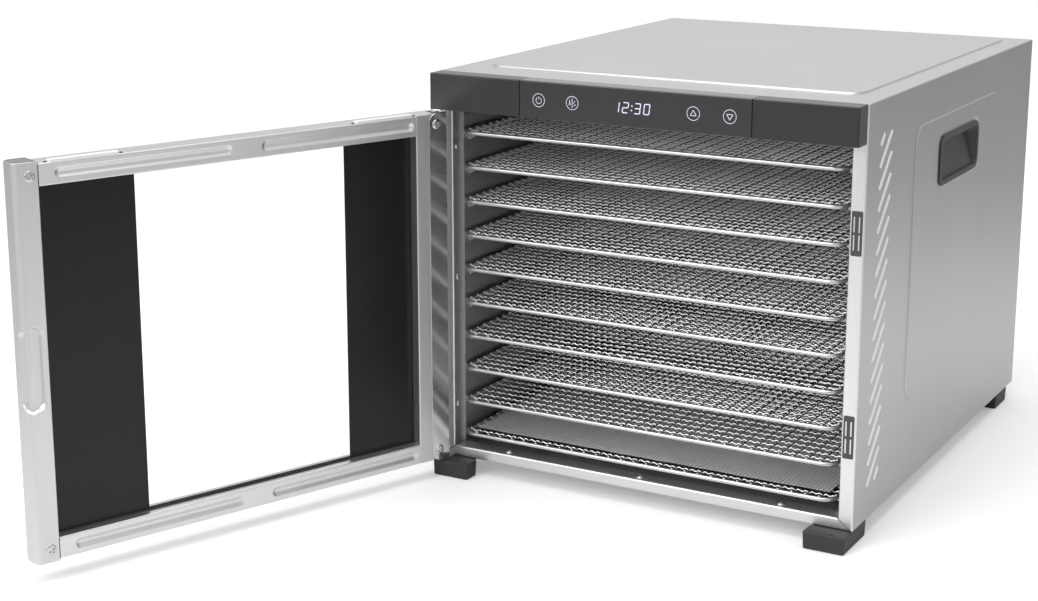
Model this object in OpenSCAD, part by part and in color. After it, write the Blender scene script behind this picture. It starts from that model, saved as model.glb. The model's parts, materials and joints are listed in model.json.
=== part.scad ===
// Tabletop food dehydrator: a steel cabinet with ten sliding wire trays, a glazed side-hung door
// and a fan with a ring heater behind the chamber. Millimetres.
// X runs to the right, Y to the back and Z up.
// The origin is on the floor at the cabinet's front left corner.

/* [Trays] */
// Width of a tray over its rod frame
tray_w = 313; // [280:1:360]
// Depth of a tray over its rod frame
tray_d = 340; // [300:1:400]
// Height from one tray to the next
tray_pitch = 27.1; // [25:0.1:34]
// Height of the lowest tray's rod above the cabinet's underside
tray_first = 18.2; // [17.6:0.1:24]
// Diameter of the frame rod
rod_d = 3.5; // [3:0.1:4.4]
// Corner radius of the frame rod, at its centre line
rod_corner = 9; // [6:0.5:14]
// Diameter of the mesh wires
wire_d = 1.2; // [0.9:0.1:1.4]
// Spacing of the mesh wires across the width
mesh_across = 10.7; // [8:0.1:16]
// Spacing of the mesh wires along the depth
mesh_along = 10.3; // [8:0.1:16]
// Thickness of the fine mesh sheet that lies on the lowest tray
sheet_liner_t = 0.8; // [0.5:0.1:1.5]
// Distance of that sheet's edges inside the tray's front rod
sheet_liner_set = 12; // [6:1:30]

/* [Chamber] */
// Thickness of the steel sheet
sheet = 1; // [0.8:0.1:1.2]
// Width of the air channel between a side panel and its liner
channel_w = 11; // [11:0.5:16]
// Gap from a liner to the tray's rod
tray_side_gap = 3; // [2:0.5:5]
// Width of a pressed runner
runner_w = 7; // [6:0.5:9]
// Height of a runner's upright face
runner_face = 2.5; // [2:0.1:3]
// Height of the slope below that face
runner_slope = 4; // [3:0.1:4.5]
// Distance of the runners' front ends behind the front plane
runner_front = 22; // [18:1:30]
// Distance of the trays' front rods behind the front plane
tray_front = 4; // [3:0.5:8]
// Gap between the trays and the air baffle
tray_rear_gap = 6; // [6:0.5:10]
// Gap from the highest tray's rod to the lower edge of the fascia
top_gap = 19.9; // [16:0.1:30]
// Height of the chamber's ceiling above the lower edge of the fascia
ceiling_rise = 2; // [1:0.5:4]
// Depth of the fan bay between the baffle and the back panel
fan_bay_d = 68; // [64:1:90]

/* [Cabinet] */
// Width of the front posts
post_w = 11; // [11:0.5:12]
// Depth of the posts' inward returns
return_d = 14; // [12:0.5:17]
// Height of the sill along the bottom of the front
sill_h = 8.5; // [8:0.1:9]
// Height of the raised field on the top
emboss_top = 1.2; // [0.8:0.1:2]
// Distance of that field from the sides
emboss_top_side = 20; // [15:1:40]
// Distance of that field from the front
emboss_top_front = 38; // [25:1:60]
// Distance of that field from the back
emboss_top_back = 16; // [12:1:40]
// Height of the raised fields on the sides
emboss_side = 1; // [0.6:0.1:1.5]
// Distance of a side field from the front
emboss_side_front = 107; // [80:1:120]
// Distance of a side field from the back
emboss_side_back = 103; // [80:1:120]
// Distance of a side field from the cabinet's underside
emboss_side_low = 67.5; // [50:0.5:100]
// Distance of a side field from the top
emboss_side_high = 32; // [24:0.5:34]
// Corner radius of the raised fields
emboss_r = 12; // [8:1:20]

/* [Side vents] */
// Distance of the vent field behind the front plane
vent_front = 27; // [24:1:40]
// Width of the vent field
vent_field = 24; // [16:1:30]
// Height of the lowest slot's end above the cabinet's underside
vent_low = 26; // [20:1:40]
// Pitch of the slots
vent_pitch = 15.7; // [12:0.1:20]
// Width of a slot
vent_slot = 3.6; // [2:0.2:5]
// Number of slots
vent_count = 17; // [8:1:17]

/* [Carrying cups] */
// Length of a cup's rim
cup_l = 100; // [90:1:120]
// Height of a cup's rim
cup_h = 39; // [36:1:46]
// Distance of a cup's rim below the top of the raised field
cup_drop = 15; // [12:0.5:24]
// Depth of a cup behind the side panel
cup_depth = 9; // [8:0.5:9.5]
// Width of a cup's rim
cup_rim = 4; // [3:0.5:6]
// How far a cup's rim stands out
cup_proud = 1.2; // [0.8:0.1:2]

/* [Fascia] */
// Height of the fascia
fascia_h = 28; // [26:0.5:36]
// Depth of the fascia in front of the cabinet
fascia_d = 16; // [15:0.5:18]
// Distance of the fascia's ends from the cabinet's sides
fascia_set = 1; // [0.5:0.1:2]
// Wall thickness of the fascia
fascia_wall = 2.5; // [2.2:0.1:3]
// Width of the touch panel
panel_w = 186; // [150:1:200]
// Thickness of the touch panel
panel_t = 1.5; // [1:0.1:1.6]

/* [Door] */
// Thickness of the door
door_t = 20; // [18:0.5:22]
// Gap between the closed door and the front plane
door_gap = 1.2; // [1.1:0.1:2]
// Gap between the door's rails and the cabinet's underside line
door_low = 3; // [3:0.1:5]
// Gap between the door's rails and the fascia
door_high = 2.5; // [2.5:0.1:4]
// Distance of the hinge axis from the cabinet's left side
pin_x = 2.5; // [2.5:0.1:2.8]
// How far the closed door reaches past the cabinet's left side
door_over_hinge = 1; // [1:0.1:1.3]
// How far the closed door reaches past the cabinet's right side
door_over_free = 5.5; // [1:0.5:8]
// Angle that the door stands open
door_open = 111.5; // [95:0.5:130]
// Height of the door's rails
rail_h = 15.5; // [14:0.5:20]
// Width of the handle stile
handle_stile_w = 17.5; // [17:0.5:22]
// Radius of the handle stile's free corners
stile_r = 6; // [5:0.5:8]
// Width of the hinge stile
hinge_stile_w = 28.5; // [26:0.5:32]
// Wall thickness of the stiles and rails
frame_wall = 1.5; // [1.3:0.1:1.6]
// How far the handle stile reaches past the rails
stile_over = 1.5; // [1:0.1:1.6]
// Thickness of the glass
glass_t = 4; // [3:0.5:5]
// How deep the glass sits in its frame
glass_seat = 6; // [5:0.5:7]
// Thickness of the seal on each face of the glass
seal_t = 0.8; // [0.6:0.1:1]
// Length of the finger grip
grip_l = 60.5; // [50:0.5:90]
// Width of the finger grip, which lies across the free edge's inner corner
grip_w = 16; // [13:0.5:17]
// Depth of the finger grip
grip_d = 3; // [2:0.1:3.2]
// How far the grip's middle lies below the door's
grip_drop = 1.5; // [0:0.5:6]
// Width of the polished hinge strip
strip_w = 16.5; // [14:0.5:18]
// How far the hinge strip's ends reach past the rails
strip_over = 1; // [0.6:0.1:1.1]
// Distance of a door screw from the rail's end
door_screw_inset = 8; // [7:0.5:9]
// Distance of the handle stile's screws from its inner side
handle_screw_in = 6.5; // [6:0.5:8]
// Distance of the hinge strip's screws from its outer edge
strip_screw_in = 9.5; // [8.5:0.5:10.5]
// Diameter of the hinge pins
pin_d = 3; // [2.8:0.1:3]

/* [Catches] */
// Width of a catch's flange
catch_w = 8; // [7.4:0.1:9]
// Height of a catch's flange
catch_h = 32; // [28:0.5:36]
// Height of the lower catch above the cabinet's underside
catch_low = 70.5; // [60:0.5:90]
// Height of the upper catch above the cabinet's underside
catch_high = 219; // [180:0.5:230]
// How far a catch stands out of the post
catch_proud = 0.6; // [0.4:0.1:0.7]

/* [Fan and heater] */
// Radius of the fan
fan_r = 75; // [60:1:85]
// Depth of the fan's paddles
fan_depth = 16; // [12:1:18]
// Number of paddles
fan_blades = 6; // [5:1:8]
// Radius of the motor
motor_r = 28; // [24:1:32]
// Length of the motor
motor_l = 34; // [30:1:36]
// Diameter of the motor's shaft
shaft_d = 6; // [5:0.5:8]
// Radius of the heating ring
heater_r = 95; // [92:1:105]
// Diameter of the heating tube
heater_d = 7; // [6:0.5:8]
// Side length of the rear cover
rear_cover_w = 120; // [104:1:140]
// Depth of the rear cover
rear_cover_d = 14; // [12:1:20]

/* [Power board] */
// Width of the board over the ceiling
power_w = 126; // [110:2:150]
// Depth of that board
power_d = 86; // [76:2:100]
// Distance of that board from the cabinet's left side
power_x = 32; // [20:1:60]
// Distance of that board behind the front plane
power_y = 62; // [50:1:80]
// Height of its stand-offs
power_stand = 5; // [4:0.5:7]
// Diameter of its stand-offs
power_stand_d = 6; // [5:0.5:8]

/* [Feet] */
// Height of the feet
foot_h = 13; // [10:0.5:20]
// Width of a foot
foot_w = 32; // [28:1:40]
// How far a front foot reaches back
front_foot_back = 31; // [28:1:40]
// Length of a front foot's inner side before it turns towards the cabinet's side
front_foot_straight = 14; // [10:1:16]
// Width of a front foot at its back
front_foot_tail = 11; // [10:1:20]
// Depth of a rear foot
rear_foot_d = 33; // [28:1:40]
// Distance of the rear feet from the back
rear_foot_set = 17; // [10:1:40]

/* [Hidden] */

$fn = 48;
wire_fn = 16;
tray_count = 10;
eps = 0.01;

steel = [0.78, 0.78, 0.79];
bright_steel = [0.86, 0.86, 0.87];
black_plastic = [0.16, 0.16, 0.17];
rubber_grey = [0.2, 0.2, 0.21];
board_green = [0.1, 0.35, 0.2];

// Clearances
rest_gap = 0.2;      // tray rod above its runner
fit_gap = 0.15;      // a piece in its cut-out
shaft_gap = 0.05;    // running clearance of a pin or shaft
press_gap = 0.02;    // hub on its shaft
mitre_gap = 0.4;     // seam between post and sill

// Screws
screw_r = 1.5;
screw_head_r = 3;
screw_head_t = 0.9;
screw_l = 5;

rod_r = rod_d / 2;
wire_r = wire_d / 2;
pin_r = pin_d / 2;

// Widths, from the left side
liner_x = sheet + channel_w;
liner_in = liner_x + sheet;
lip_x = post_w - 2 * sheet;
tray_x = liner_in + tray_side_gap;
cab_w = tray_w + 2 * tray_x;

// Depths, from the front plane
tray_y = tray_front;
baffle_y = tray_front + tray_d + tray_rear_gap;
back_y = baffle_y + sheet + fan_bay_d;
cab_d = back_y + sheet;

// Heights, from the floor
z_base = foot_h;
function tray_z(i) = z_base + tray_first + (i - 1) * tray_pitch;
z_sill = z_base + sill_h;
z_floor = z_sill - 2 * sheet;
z_fascia = tray_z(tray_count) + top_gap;
z_ceiling = z_fascia + ceiling_rise;
z_top = z_fascia + fascia_h;
z_mid = (z_sill + z_ceiling) / 2;
mid_x = cab_w / 2;

// Mesh of a tray: the cross wires lie in the side rods and the long wires lie over them on the end rods
across_drop = wire_r;
cross_z = rod_r - 2 * wire_r - 0.1 - across_drop / 2 + wire_r / 2;
long_z = cross_z + wire_d + 0.1;
span_x = tray_w - rod_d;
span_y = tray_d - rod_d;
mesh_edge = rod_corner + 0.5;
long_count = floor((span_x - 2 * mesh_edge) / mesh_across) + 1;
cross_count = floor((span_y - 2 * mesh_edge) / mesh_along) + 1;

// Runners
runner_tip = liner_in + runner_w;
runner_back = baffle_y - 8;
function runner_z(i) = tray_z(i) - rod_r - rest_gap;

// Door, given as closed; the modules turn it open
door_w = cab_w + door_over_hinge + door_over_free;
door_x = -door_over_hinge;
door_x1 = door_x + door_w;
door_in = -door_gap;
door_out = -door_gap - door_t;
door_z0 = z_base + door_low;
door_z1 = z_fascia - door_high;
pin_y = -door_gap - door_t / 2;
hinge_inner_x = door_x + hinge_stile_w;
handle_inner_x = door_x1 - handle_stile_w;
glass_y0 = pin_y - glass_t / 2;
glass_y1 = pin_y + glass_t / 2;
slot_y0 = glass_y0 - seal_t;
slot_y1 = glass_y1 + seal_t;
strip_t = 1;
strip_r = 8;
bush_w = 7.5;
bush_h = 9;
bush_l = 8;
pin_l = bush_l - 1;
knuckle_r = pin_r + 1.5;
tab_t = 1;
grip_turn = 30;
grip_x = door_x1 - grip_w * cos(grip_turn) / 2;
grip_y = door_in - grip_w * sin(grip_turn) / 2;
grip_z = (door_z0 + door_z1) / 2 - grip_drop;
handle_screw_x = handle_inner_x + handle_screw_in;
strip_screw_x = door_x + strip_screw_in;

// Fascia
panel_x0 = mid_x - panel_w / 2;
fascia_front = -fascia_d;
window_w = panel_w - 8;
window_h = 16;
panel_z = z_fascia + fascia_h / 2;
led_w = 36;
led_h = 14;
board_t = 1.6;
board_y = -6;
board_half = window_w / 2 + 11;
board_h = 18;
stud_r = 3;
bay_h = z_top - z_ceiling - 2 * sheet;

// Raised fields, given as their low and high corners, and the cups in the side ones
top_lo = [emboss_top_side, emboss_top_front];
top_hi = [cab_w - emboss_top_side, cab_d - emboss_top_back];
side_lo = [emboss_side_front, z_base + emboss_side_low];
side_hi = [cab_d - emboss_side_back, z_top - emboss_side_high];
cup_y = (side_lo[0] + side_hi[0]) / 2;
cup_lo = [cup_y - cup_l / 2, side_hi[1] - cup_drop - cup_h];
cup_hi = [cup_y + cup_l / 2, side_hi[1] - cup_drop];
cup_r = 9;
cup_wall = 1;
cup_back = cup_depth + sheet;

// Back
bracket_t = 2;
bracket_w = 2 * motor_r + 34;
motor_front = back_y - motor_l + 8;
fan_y0 = motor_front - 6 - fan_depth;
vent_hole_r = motor_r + 4;
inlet_w = 27;
inlet_h = 20;
inlet_x = 62;
inlet_z = z_base + 42;
inlet_flange = 3;
cool_x = 110;
cool_pitch = 8;
cool_slot = 4;
cool_l = 40;
cool_drop = 50;
inlet_depth = 20;

// Feet
rear_foot_y1 = cab_d - rear_foot_set;
foot_screw_y = [(front_foot_back - fascia_d) / 2, rear_foot_y1 - rear_foot_d / 2];

// Front post catches
catch_x = cab_w - post_w / 2;
catch_depth = 10;
catch_body_w = post_w - 4 * sheet - 2 * fit_gap;
catch_body_h = catch_h - 2;
pole_t = 1;
pole_gap = 1.9;
pole_h = catch_h - 6;
pole_y = 1;
pole_back = 8;
tooth_h = 11;
tooth_gap = 2;

module block(lo, hi) {
    translate(lo) cube(hi - lo);
}

module along_y(y0, y1) {
    translate([0, y1, 0]) rotate([90, 0, 0]) linear_extrude(y1 - y0) children();
}

module along_x(x0, x1) {
    translate([x0, 0, 0]) rotate([90, 0, 90]) linear_extrude(x1 - x0) children();
}

module along_z(z0, z1) {
    translate([0, 0, z0]) linear_extrude(z1 - z0) children();
}

// Rounded rectangle from one corner to the other
module field(lo, hi, r) {
    translate([lo[0] + r, lo[1]]) square([hi[0] - lo[0] - 2 * r, hi[1] - lo[1]]);
    translate([lo[0], lo[1] + r]) square([hi[0] - lo[0], hi[1] - lo[1] - 2 * r]);
    for (x = [lo[0] + r, hi[0] - r], y = [lo[1] + r, hi[1] - r]) translate([x, y]) circle(r);
}

// The same rectangle with its edges moved inwards
module inner_field(lo, hi, r, by) {
    field([lo[0] + by, lo[1] + by], [hi[0] - by, hi[1] - by], r - by);
}

module mirrored_right() {
    translate([cab_w, 0, 0]) mirror([1, 0, 0]) children();
}

// Pan-head screw with its head's underside at the origin and its shank along -Z
module screw(length = screw_l) {
    cylinder(r = screw_head_r, h = screw_head_t);
    translate([0, 0, -length]) cylinder(r = screw_r, h = length);
}

module screw_hole(length = screw_l) {
    translate([0, 0, -length]) cylinder(r = screw_r + 0.1, h = length + 1);
}

// Places of the screws that hold a liner to its post, seen as the left one
module at_liner_screws() {
    for (share = [0.12, 0.5, 0.88])
        translate([post_w, return_d / 2, z_sill + share * (z_ceiling - z_sill)])
            rotate([0, 90, 0]) children();
}

module at_sill_screws() {
    for (side = [-1, 0, 1]) translate([mid_x + side * cab_w / 3, return_d / 2, z_sill]) children();
}

module at_back_screws() {
    for (x = [sheet + 6, cab_w - sheet - 6], z = [z_base + 20, z_mid, z_top - 20])
        translate([x, cab_d, z]) rotate([-90, 0, 0]) children();
}

module at_cover_screws() {
    for (sx = [-1, 1], sz = [-1, 1])
        translate([mid_x + sx * (rear_cover_w / 2 + 5), cab_d + sheet, z_mid + sz * rear_cover_w / 3])
            rotate([-90, 0, 0]) children();
}

module at_feet_screws() {
    for (x = [foot_w / 2, cab_w - foot_w / 2], y = foot_screw_y) translate([x, y, 0]) children();
}

// ---- Cabinet shell

module top_cover() {
    color(steel) difference() {
        union() {
            block([0, 0, z_top - sheet], [cab_w, cab_d, z_top]);
            along_z(z_top - sheet, z_top + emboss_top) field(top_lo, top_hi, emboss_r);
        }
        along_z(z_top - sheet - 1, z_top + emboss_top - sheet) inner_field(top_lo, top_hi, emboss_r, sheet);
    }
}

// Sloping slots, cut off at the edges of their field
module vent_slots() {
    slot_l = vent_field * sqrt(2) + vent_slot;
    first_z = z_base + vent_low;
    intersection() {
        union() {
            for (i = [-1 : vent_count - 1])
                translate([vent_front, first_z + i * vent_pitch]) rotate(45) translate([0, -vent_slot / 2])
                    square([slot_l, vent_slot]);
        }
        translate([vent_front, first_z])
            square([vent_field, (vent_count - 1) * vent_pitch + vent_slot / 2 + vent_pitch / 2]);
    }
}

module side_sheet(catches) {
    difference() {
        union() {
            block([0, sheet, z_base], [sheet, cab_d, z_top - sheet]);
            along_x(-emboss_side, sheet) field(side_lo, side_hi, emboss_r);
            along_y(0, sheet)
                polygon([[0, z_base], [0, z_top - sheet], [post_w, z_top - sheet], [post_w, z_sill]]);
            block([post_w - sheet, 0, z_sill], [post_w, return_d, z_ceiling]);
            block([0, back_y - sheet, z_base + sheet], [liner_x, back_y, z_top - sheet]);
        }
        along_x(sheet - emboss_side, sheet + 1) inner_field(side_lo, side_hi, emboss_r, sheet);
        along_x(-1, sheet + 1) vent_slots();
        along_x(-emboss_side - 1, sheet + 1) inner_field(cup_lo, cup_hi, cup_r, cup_rim);
        at_liner_screws() screw_hole();
        for (z = [z_base + 20, z_mid, z_top - 20])
            translate([sheet + 6, cab_d, z]) rotate([-90, 0, 0]) screw_hole();
        if (catches) for (z = [catch_low, catch_high])
            block([post_w / 2 - catch_body_w / 2 - fit_gap, -1, z_base + z - catch_body_h / 2 - fit_gap],
                [post_w / 2 + catch_body_w / 2 + fit_gap, sheet + 1,
                    z_base + z + catch_body_h / 2 + fit_gap]);
    }
}

module side_panel_left() {
    color(steel) side_sheet(false);
}

module side_panel_right() {
    color(steel) mirrored_right() side_sheet(true);
}

module bottom_panel() {
    color(steel) difference() {
        union() {
            block([sheet, sheet, z_base], [cab_w - sheet, back_y, z_base + sheet]);
            along_y(0, sheet) polygon([[mitre_gap, z_base], [post_w + mitre_gap, z_sill],
                [cab_w - post_w - mitre_gap, z_sill], [cab_w - mitre_gap, z_base]]);
            block([post_w + mitre_gap, 0, z_sill - sheet], [cab_w - post_w - mitre_gap, return_d, z_sill]);
        }
        at_sill_screws() screw_hole();
        at_feet_screws() translate([0, 0, z_base + sheet]) screw_hole();
    }
}

module back_panel() {
    color(steel) difference() {
        block([sheet, back_y, z_base], [cab_w - sheet, cab_d, z_top - sheet]);
        translate([mid_x, back_y - 1, z_mid]) rotate([-90, 0, 0]) cylinder(r = vent_hole_r, h = sheet + 2);
        block([inlet_x - inlet_w / 2 - fit_gap, back_y - 1, inlet_z - inlet_h / 2 - fit_gap],
            [inlet_x + inlet_w / 2 + fit_gap, cab_d + 1, inlet_z + inlet_h / 2 + fit_gap]);
        for (side = [-1, 1], i = [-3 : 3]) {
            x = mid_x + side * cool_x + i * cool_pitch;
            along_y(back_y - 1, cab_d + 1)
                field([x - cool_slot / 2, z_top - cool_drop - cool_l],
                    [x + cool_slot / 2, z_top - cool_drop], 1.5);
        }
        at_back_screws() screw_hole();
        at_cover_screws() screw_hole();
    }
}

// ---- Chamber

// Outline of one runner, from the liner's back face
function runner_front_path(z) = [[liner_in, z - runner_face - runner_slope], [runner_tip, z - runner_face],
    [runner_tip, z], [liner_in, z]];
function runner_back_path(z) = [[liner_x, z - sheet], [runner_tip - sheet, z - sheet],
    [runner_tip - sheet, z - runner_face], [liner_x, z - runner_face - runner_slope]];

module liner_section() {
    front = [for (i = [1 : tray_count]) each runner_front_path(runner_z(i))];
    back = [for (i = [tray_count : -1 : 1]) each runner_back_path(runner_z(i))];
    polygon(concat([[liner_x, z_sill - sheet], [liner_in, z_sill - sheet]], front,
        [[liner_in, z_ceiling], [liner_x, z_ceiling]], back));
}

module runner_ends() {
    for (i = [1 : tray_count])
        polygon(concat(runner_front_path(runner_z(i)),
            [[liner_x, runner_z(i)], [liner_x, runner_z(i) - runner_face - runner_slope]]));
}

module liner_sheet() {
    low = z_sill - sheet;
    difference() {
        union() {
            block([lip_x, sheet, low], [lip_x + sheet, return_d + sheet, z_ceiling]);
            block([lip_x, return_d, low], [liner_in, return_d + sheet, z_ceiling]);
            block([liner_x, return_d, low], [liner_in, runner_front, z_ceiling]);
            along_y(runner_front, runner_back) liner_section();
            along_y(runner_front, runner_front + sheet) runner_ends();
            along_y(runner_back - sheet, runner_back) runner_ends();
            block([liner_x, runner_back, low], [liner_in, baffle_y, z_ceiling]);
        }
        at_liner_screws() screw_hole();
    }
}

module liner_left() {
    color(steel) liner_sheet();
}

module liner_right() {
    color(steel) mirrored_right() liner_sheet();
}

module floor_liner() {
    color(steel) difference() {
        block([lip_x, sheet, z_floor], [cab_w - lip_x, baffle_y, z_floor + sheet]);
        at_sill_screws() screw_hole();
    }
}

module ceiling_liner() {
    color(steel) difference() {
        union() {
            block([lip_x, sheet, z_ceiling], [cab_w - lip_x, baffle_y, z_ceiling + sheet]);
            block([post_w, 0, z_ceiling], [cab_w - post_w, sheet, z_top - sheet]);
        }
        along_y(-1, sheet + 1) field([mid_x - 20, z_ceiling + 8], [mid_x + 20, z_top - 8], 3);
    }
}

module air_baffle() {
    slot_pitch = 34;
    slot_w = 24;
    slot_h = 5;
    rise = 6;
    color(steel) difference() {
        block([lip_x, baffle_y, z_floor], [cab_w - lip_x, baffle_y + sheet, z_ceiling + sheet]);
        for (i = [1 : tray_count], k = [-3.5 : 3.5]) {
            x = mid_x + k * slot_pitch;
            z = tray_z(i) + rise;
            along_y(baffle_y - 1, baffle_y + sheet + 1)
                field([x - slot_w / 2, z], [x + slot_w / 2, z + slot_h], 2);
        }
    }
}

// ---- Fascia and electronics

module fascia() {
    color(black_plastic) difference() {
        union() {
            difference() {
                along_z(z_fascia, z_top) {
                    field([fascia_set, fascia_front], [cab_w - fascia_set, fascia_front + 6], 1.5);
                    translate([fascia_set, fascia_front + 3]) square([cab_w - 2 * fascia_set, fascia_d - 3]);
                }
                block([fascia_set + fascia_wall, fascia_front + fascia_wall, z_fascia + fascia_wall],
                    [cab_w - fascia_set - fascia_wall, 1, z_top - fascia_wall]);
            }
            for (side = [-1, 1])
                translate([mid_x + side * (board_half - stud_r - 1), board_y, panel_z]) rotate([90, 0, 0])
                    cylinder(r = stud_r, h = board_y - fascia_front - 1);
        }
        block([panel_x0 - fit_gap, fascia_front - 1, z_fascia - 1],
            [panel_x0 + panel_w + fit_gap, fascia_front + panel_t, z_top + 1]);
        block([mid_x - window_w / 2, fascia_front, panel_z - window_h / 2],
            [mid_x + window_w / 2, fascia_front + fascia_wall + 1, panel_z + window_h / 2]);
    }
}

module display_panel() {
    color([0.1, 0.1, 0.11])
        block([panel_x0, fascia_front, z_fascia], [panel_x0 + panel_w, fascia_front + panel_t, z_top]);
}

module led_display() {
    color("white")
        block([mid_x - led_w / 2, fascia_front + panel_t + fit_gap, panel_z - led_h / 2],
            [mid_x + led_w / 2, board_y, panel_z + led_h / 2]);
}

module control_board() {
    color(board_green)
        block([mid_x - board_half, board_y, panel_z - board_h / 2],
            [mid_x + board_half, board_y + board_t, panel_z + board_h / 2]);
}

// A block on the power board; at and size are shares of the board, rise is a share of the space over it
module board_part(at, size, rise) {
    z = z_ceiling + sheet + power_stand + board_t;
    free = z_ceiling + sheet + bay_h - z - 1.5;
    x = power_x + at[0] * power_w;
    y = power_y + at[1] * power_d;
    block([x, y, z], [x + size[0] * power_w, y + size[1] * power_d, z + rise * free]);
}

module power_board() {
    low = z_ceiling + sheet;
    edge = power_stand_d / 2 + 5;
    color(board_green) union() {
        for (x = [power_x + edge, power_x + power_w - edge], y = [power_y + edge, power_y + power_d - edge])
            translate([x, y, low]) cylinder(d = power_stand_d, h = power_stand);
        block([power_x, power_y, low + power_stand],
            [power_x + power_w, power_y + power_d, low + power_stand + board_t]);
        board_part([0.1, 0.2], [0.32, 0.46], 1);
        board_part([0.54, 0.2], [0.16, 0.24], 0.8);
        board_part([0.75, 0.5], [0.13, 0.24], 0.6);
    }
}

// ---- Fan, heater and mains inlet

module along_shaft(y) {
    translate([mid_x, y, z_mid]) rotate([-90, 0, 0]) children();
}

module fan_motor() {
    color([0.55, 0.55, 0.56]) difference() {
        along_shaft(motor_front) {
            cylinder(r = motor_r, h = motor_l);
            translate([0, 0, -3]) cylinder(r = shaft_d / 2 + 5, h = 4);
        }
        along_shaft(motor_front - 4) cylinder(r = shaft_d / 2 + shaft_gap, h = 14);
    }
}

module motor_bracket() {
    color(steel) difference() {
        block([mid_x - bracket_w / 2, back_y - bracket_t, z_mid - bracket_w / 2],
            [mid_x + bracket_w / 2, back_y, z_mid + bracket_w / 2]);
        along_shaft(back_y - bracket_t - 1) cylinder(r = motor_r + fit_gap, h = bracket_t + 2);
    }
}

module motor_shaft() {
    color(bright_steel) along_shaft(fan_y0 - 3) cylinder(r = shaft_d / 2, h = motor_front - fan_y0 + 3 + 9);
}

module fan_blade() {
    hub_r = shaft_d / 2 + 8;
    color([0.7, 0.7, 0.72]) difference() {
        union() {
            along_shaft(fan_y0) cylinder(r = hub_r, h = fan_depth);
            for (i = [0 : fan_blades - 1])
                along_shaft(fan_y0) rotate([0, 0, i * 360 / fan_blades]) translate([hub_r - 2, -0.75, 1])
                    cube([fan_r - hub_r + 2, 1.5, fan_depth - 2]);
            along_shaft(fan_y0 + fan_depth - 1.5) difference() {
                cylinder(r = fan_r, h = 1.5);
                translate([0, 0, -1]) cylinder(r = fan_r - 14, h = 4);
            }
        }
        along_shaft(fan_y0 - 1) cylinder(r = shaft_d / 2 + press_gap, h = fan_depth + 2);
    }
}

module heating_element() {
    ring_y = fan_y0 + fan_depth / 2;
    color([0.45, 0.44, 0.43]) union() {
        along_shaft(ring_y) rotate_extrude() translate([heater_r, 0]) circle(heater_d / 2);
        for (side = [-1, 1])
            translate([mid_x + side * heater_r, ring_y, z_mid]) rotate([-90, 0, 0])
                cylinder(r = heater_d / 2, h = back_y - ring_y);
    }
}

module thermal_cutout() {
    color("ivory") translate([mid_x, back_y, z_mid + heater_r + 14]) rotate([90, 0, 0]) {
        cylinder(r = 8, h = 9);
        cylinder(r = 11, h = 1.5);
    }
}

module temperature_probe() {
    bulb_r = 1.8;
    bulb_y = baffle_y - tray_rear_gap / 2;
    z = tray_z(tray_count - 1) + tray_pitch / 2 + 4;
    color(bright_steel) union() {
        translate([mid_x - 30, bulb_y, z]) rotate([0, 90, 0]) cylinder(r = bulb_r, h = 60);
        for (x = [mid_x - 22, mid_x + 20]) block([x, bulb_y, z - 1], [x + 2, baffle_y, z + 1]);
    }
}

module rear_cover() {
    wall = 2;
    ear = 10;
    slot_pitch = 7;
    slot_in = 14;
    half = rear_cover_w / 2;
    lo = [mid_x - half, z_mid - half];
    hi = [mid_x + half, z_mid + half];
    color(black_plastic) difference() {
        union() {
            along_y(cab_d, cab_d + rear_cover_d) field(lo, hi, 10);
            along_y(cab_d, cab_d + sheet) field(lo + [-ear, ear], hi + [ear, -ear], 4);
        }
        along_y(cab_d - 1, cab_d + rear_cover_d - wall) inner_field(lo, hi, 10, wall);
        for (i = [-6 : 6]) {
            x = mid_x + i * slot_pitch;
            along_y(cab_d, cab_d + rear_cover_d + 1)
                field([x - 1.5, lo[1] + slot_in], [x + 1.5, hi[1] - slot_in], 1.4);
        }
        at_cover_screws() screw_hole();
    }
}

module power_inlet() {
    color(black_plastic) difference() {
        union() {
            block([inlet_x - inlet_w / 2, cab_d - inlet_depth, inlet_z - inlet_h / 2],
                [inlet_x + inlet_w / 2, cab_d + 1, inlet_z + inlet_h / 2]);
            along_y(cab_d, cab_d + 2)
                field([inlet_x - inlet_w / 2 - inlet_flange, inlet_z - inlet_h / 2 - inlet_flange],
                    [inlet_x + inlet_w / 2 + inlet_flange, inlet_z + inlet_h / 2 + inlet_flange], 2);
        }
        along_y(cab_d - inlet_depth + 3, cab_d + 3)
            field([inlet_x - inlet_w / 2 + 1.5, inlet_z - inlet_h / 2 + 1.5],
                [inlet_x + inlet_w / 2 - 1.5, inlet_z + inlet_h / 2 - 1.5], 3);
        inlet_blades(fit_gap);
    }
}

module inlet_blades(grow) {
    for (spot = [[-7, 1], [0, 5], [7, 1]])
        block([inlet_x + spot[0] - 1 - grow, cab_d - inlet_depth - 4, inlet_z + spot[1] - 2.5 - grow],
            [inlet_x + spot[0] + 1 + grow, cab_d - 4, inlet_z + spot[1] + 2.5 + grow]);
}

module inlet_pins() {
    color(bright_steel) inlet_blades(0);
}

// ---- Carrying cups and catches

module cup_shape() {
    front = -emboss_side - cup_proud;
    wall_in = cup_rim + fit_gap;
    difference() {
        union() {
            along_x(front, -emboss_side) field(cup_lo, cup_hi, cup_r);
            along_x(front, cup_back) inner_field(cup_lo, cup_hi, cup_r, wall_in);
        }
        along_x(front - 1, cup_back - cup_wall) inner_field(cup_lo, cup_hi, cup_r, wall_in + cup_wall);
    }
}

module handle_cup_left() {
    color(black_plastic) cup_shape();
}

module handle_cup_right() {
    color(black_plastic) mirrored_right() cup_shape();
}

module at_catches() {
    for (z = [catch_low, catch_high]) translate([catch_x, 0, z_base + z]) children();
}

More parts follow.
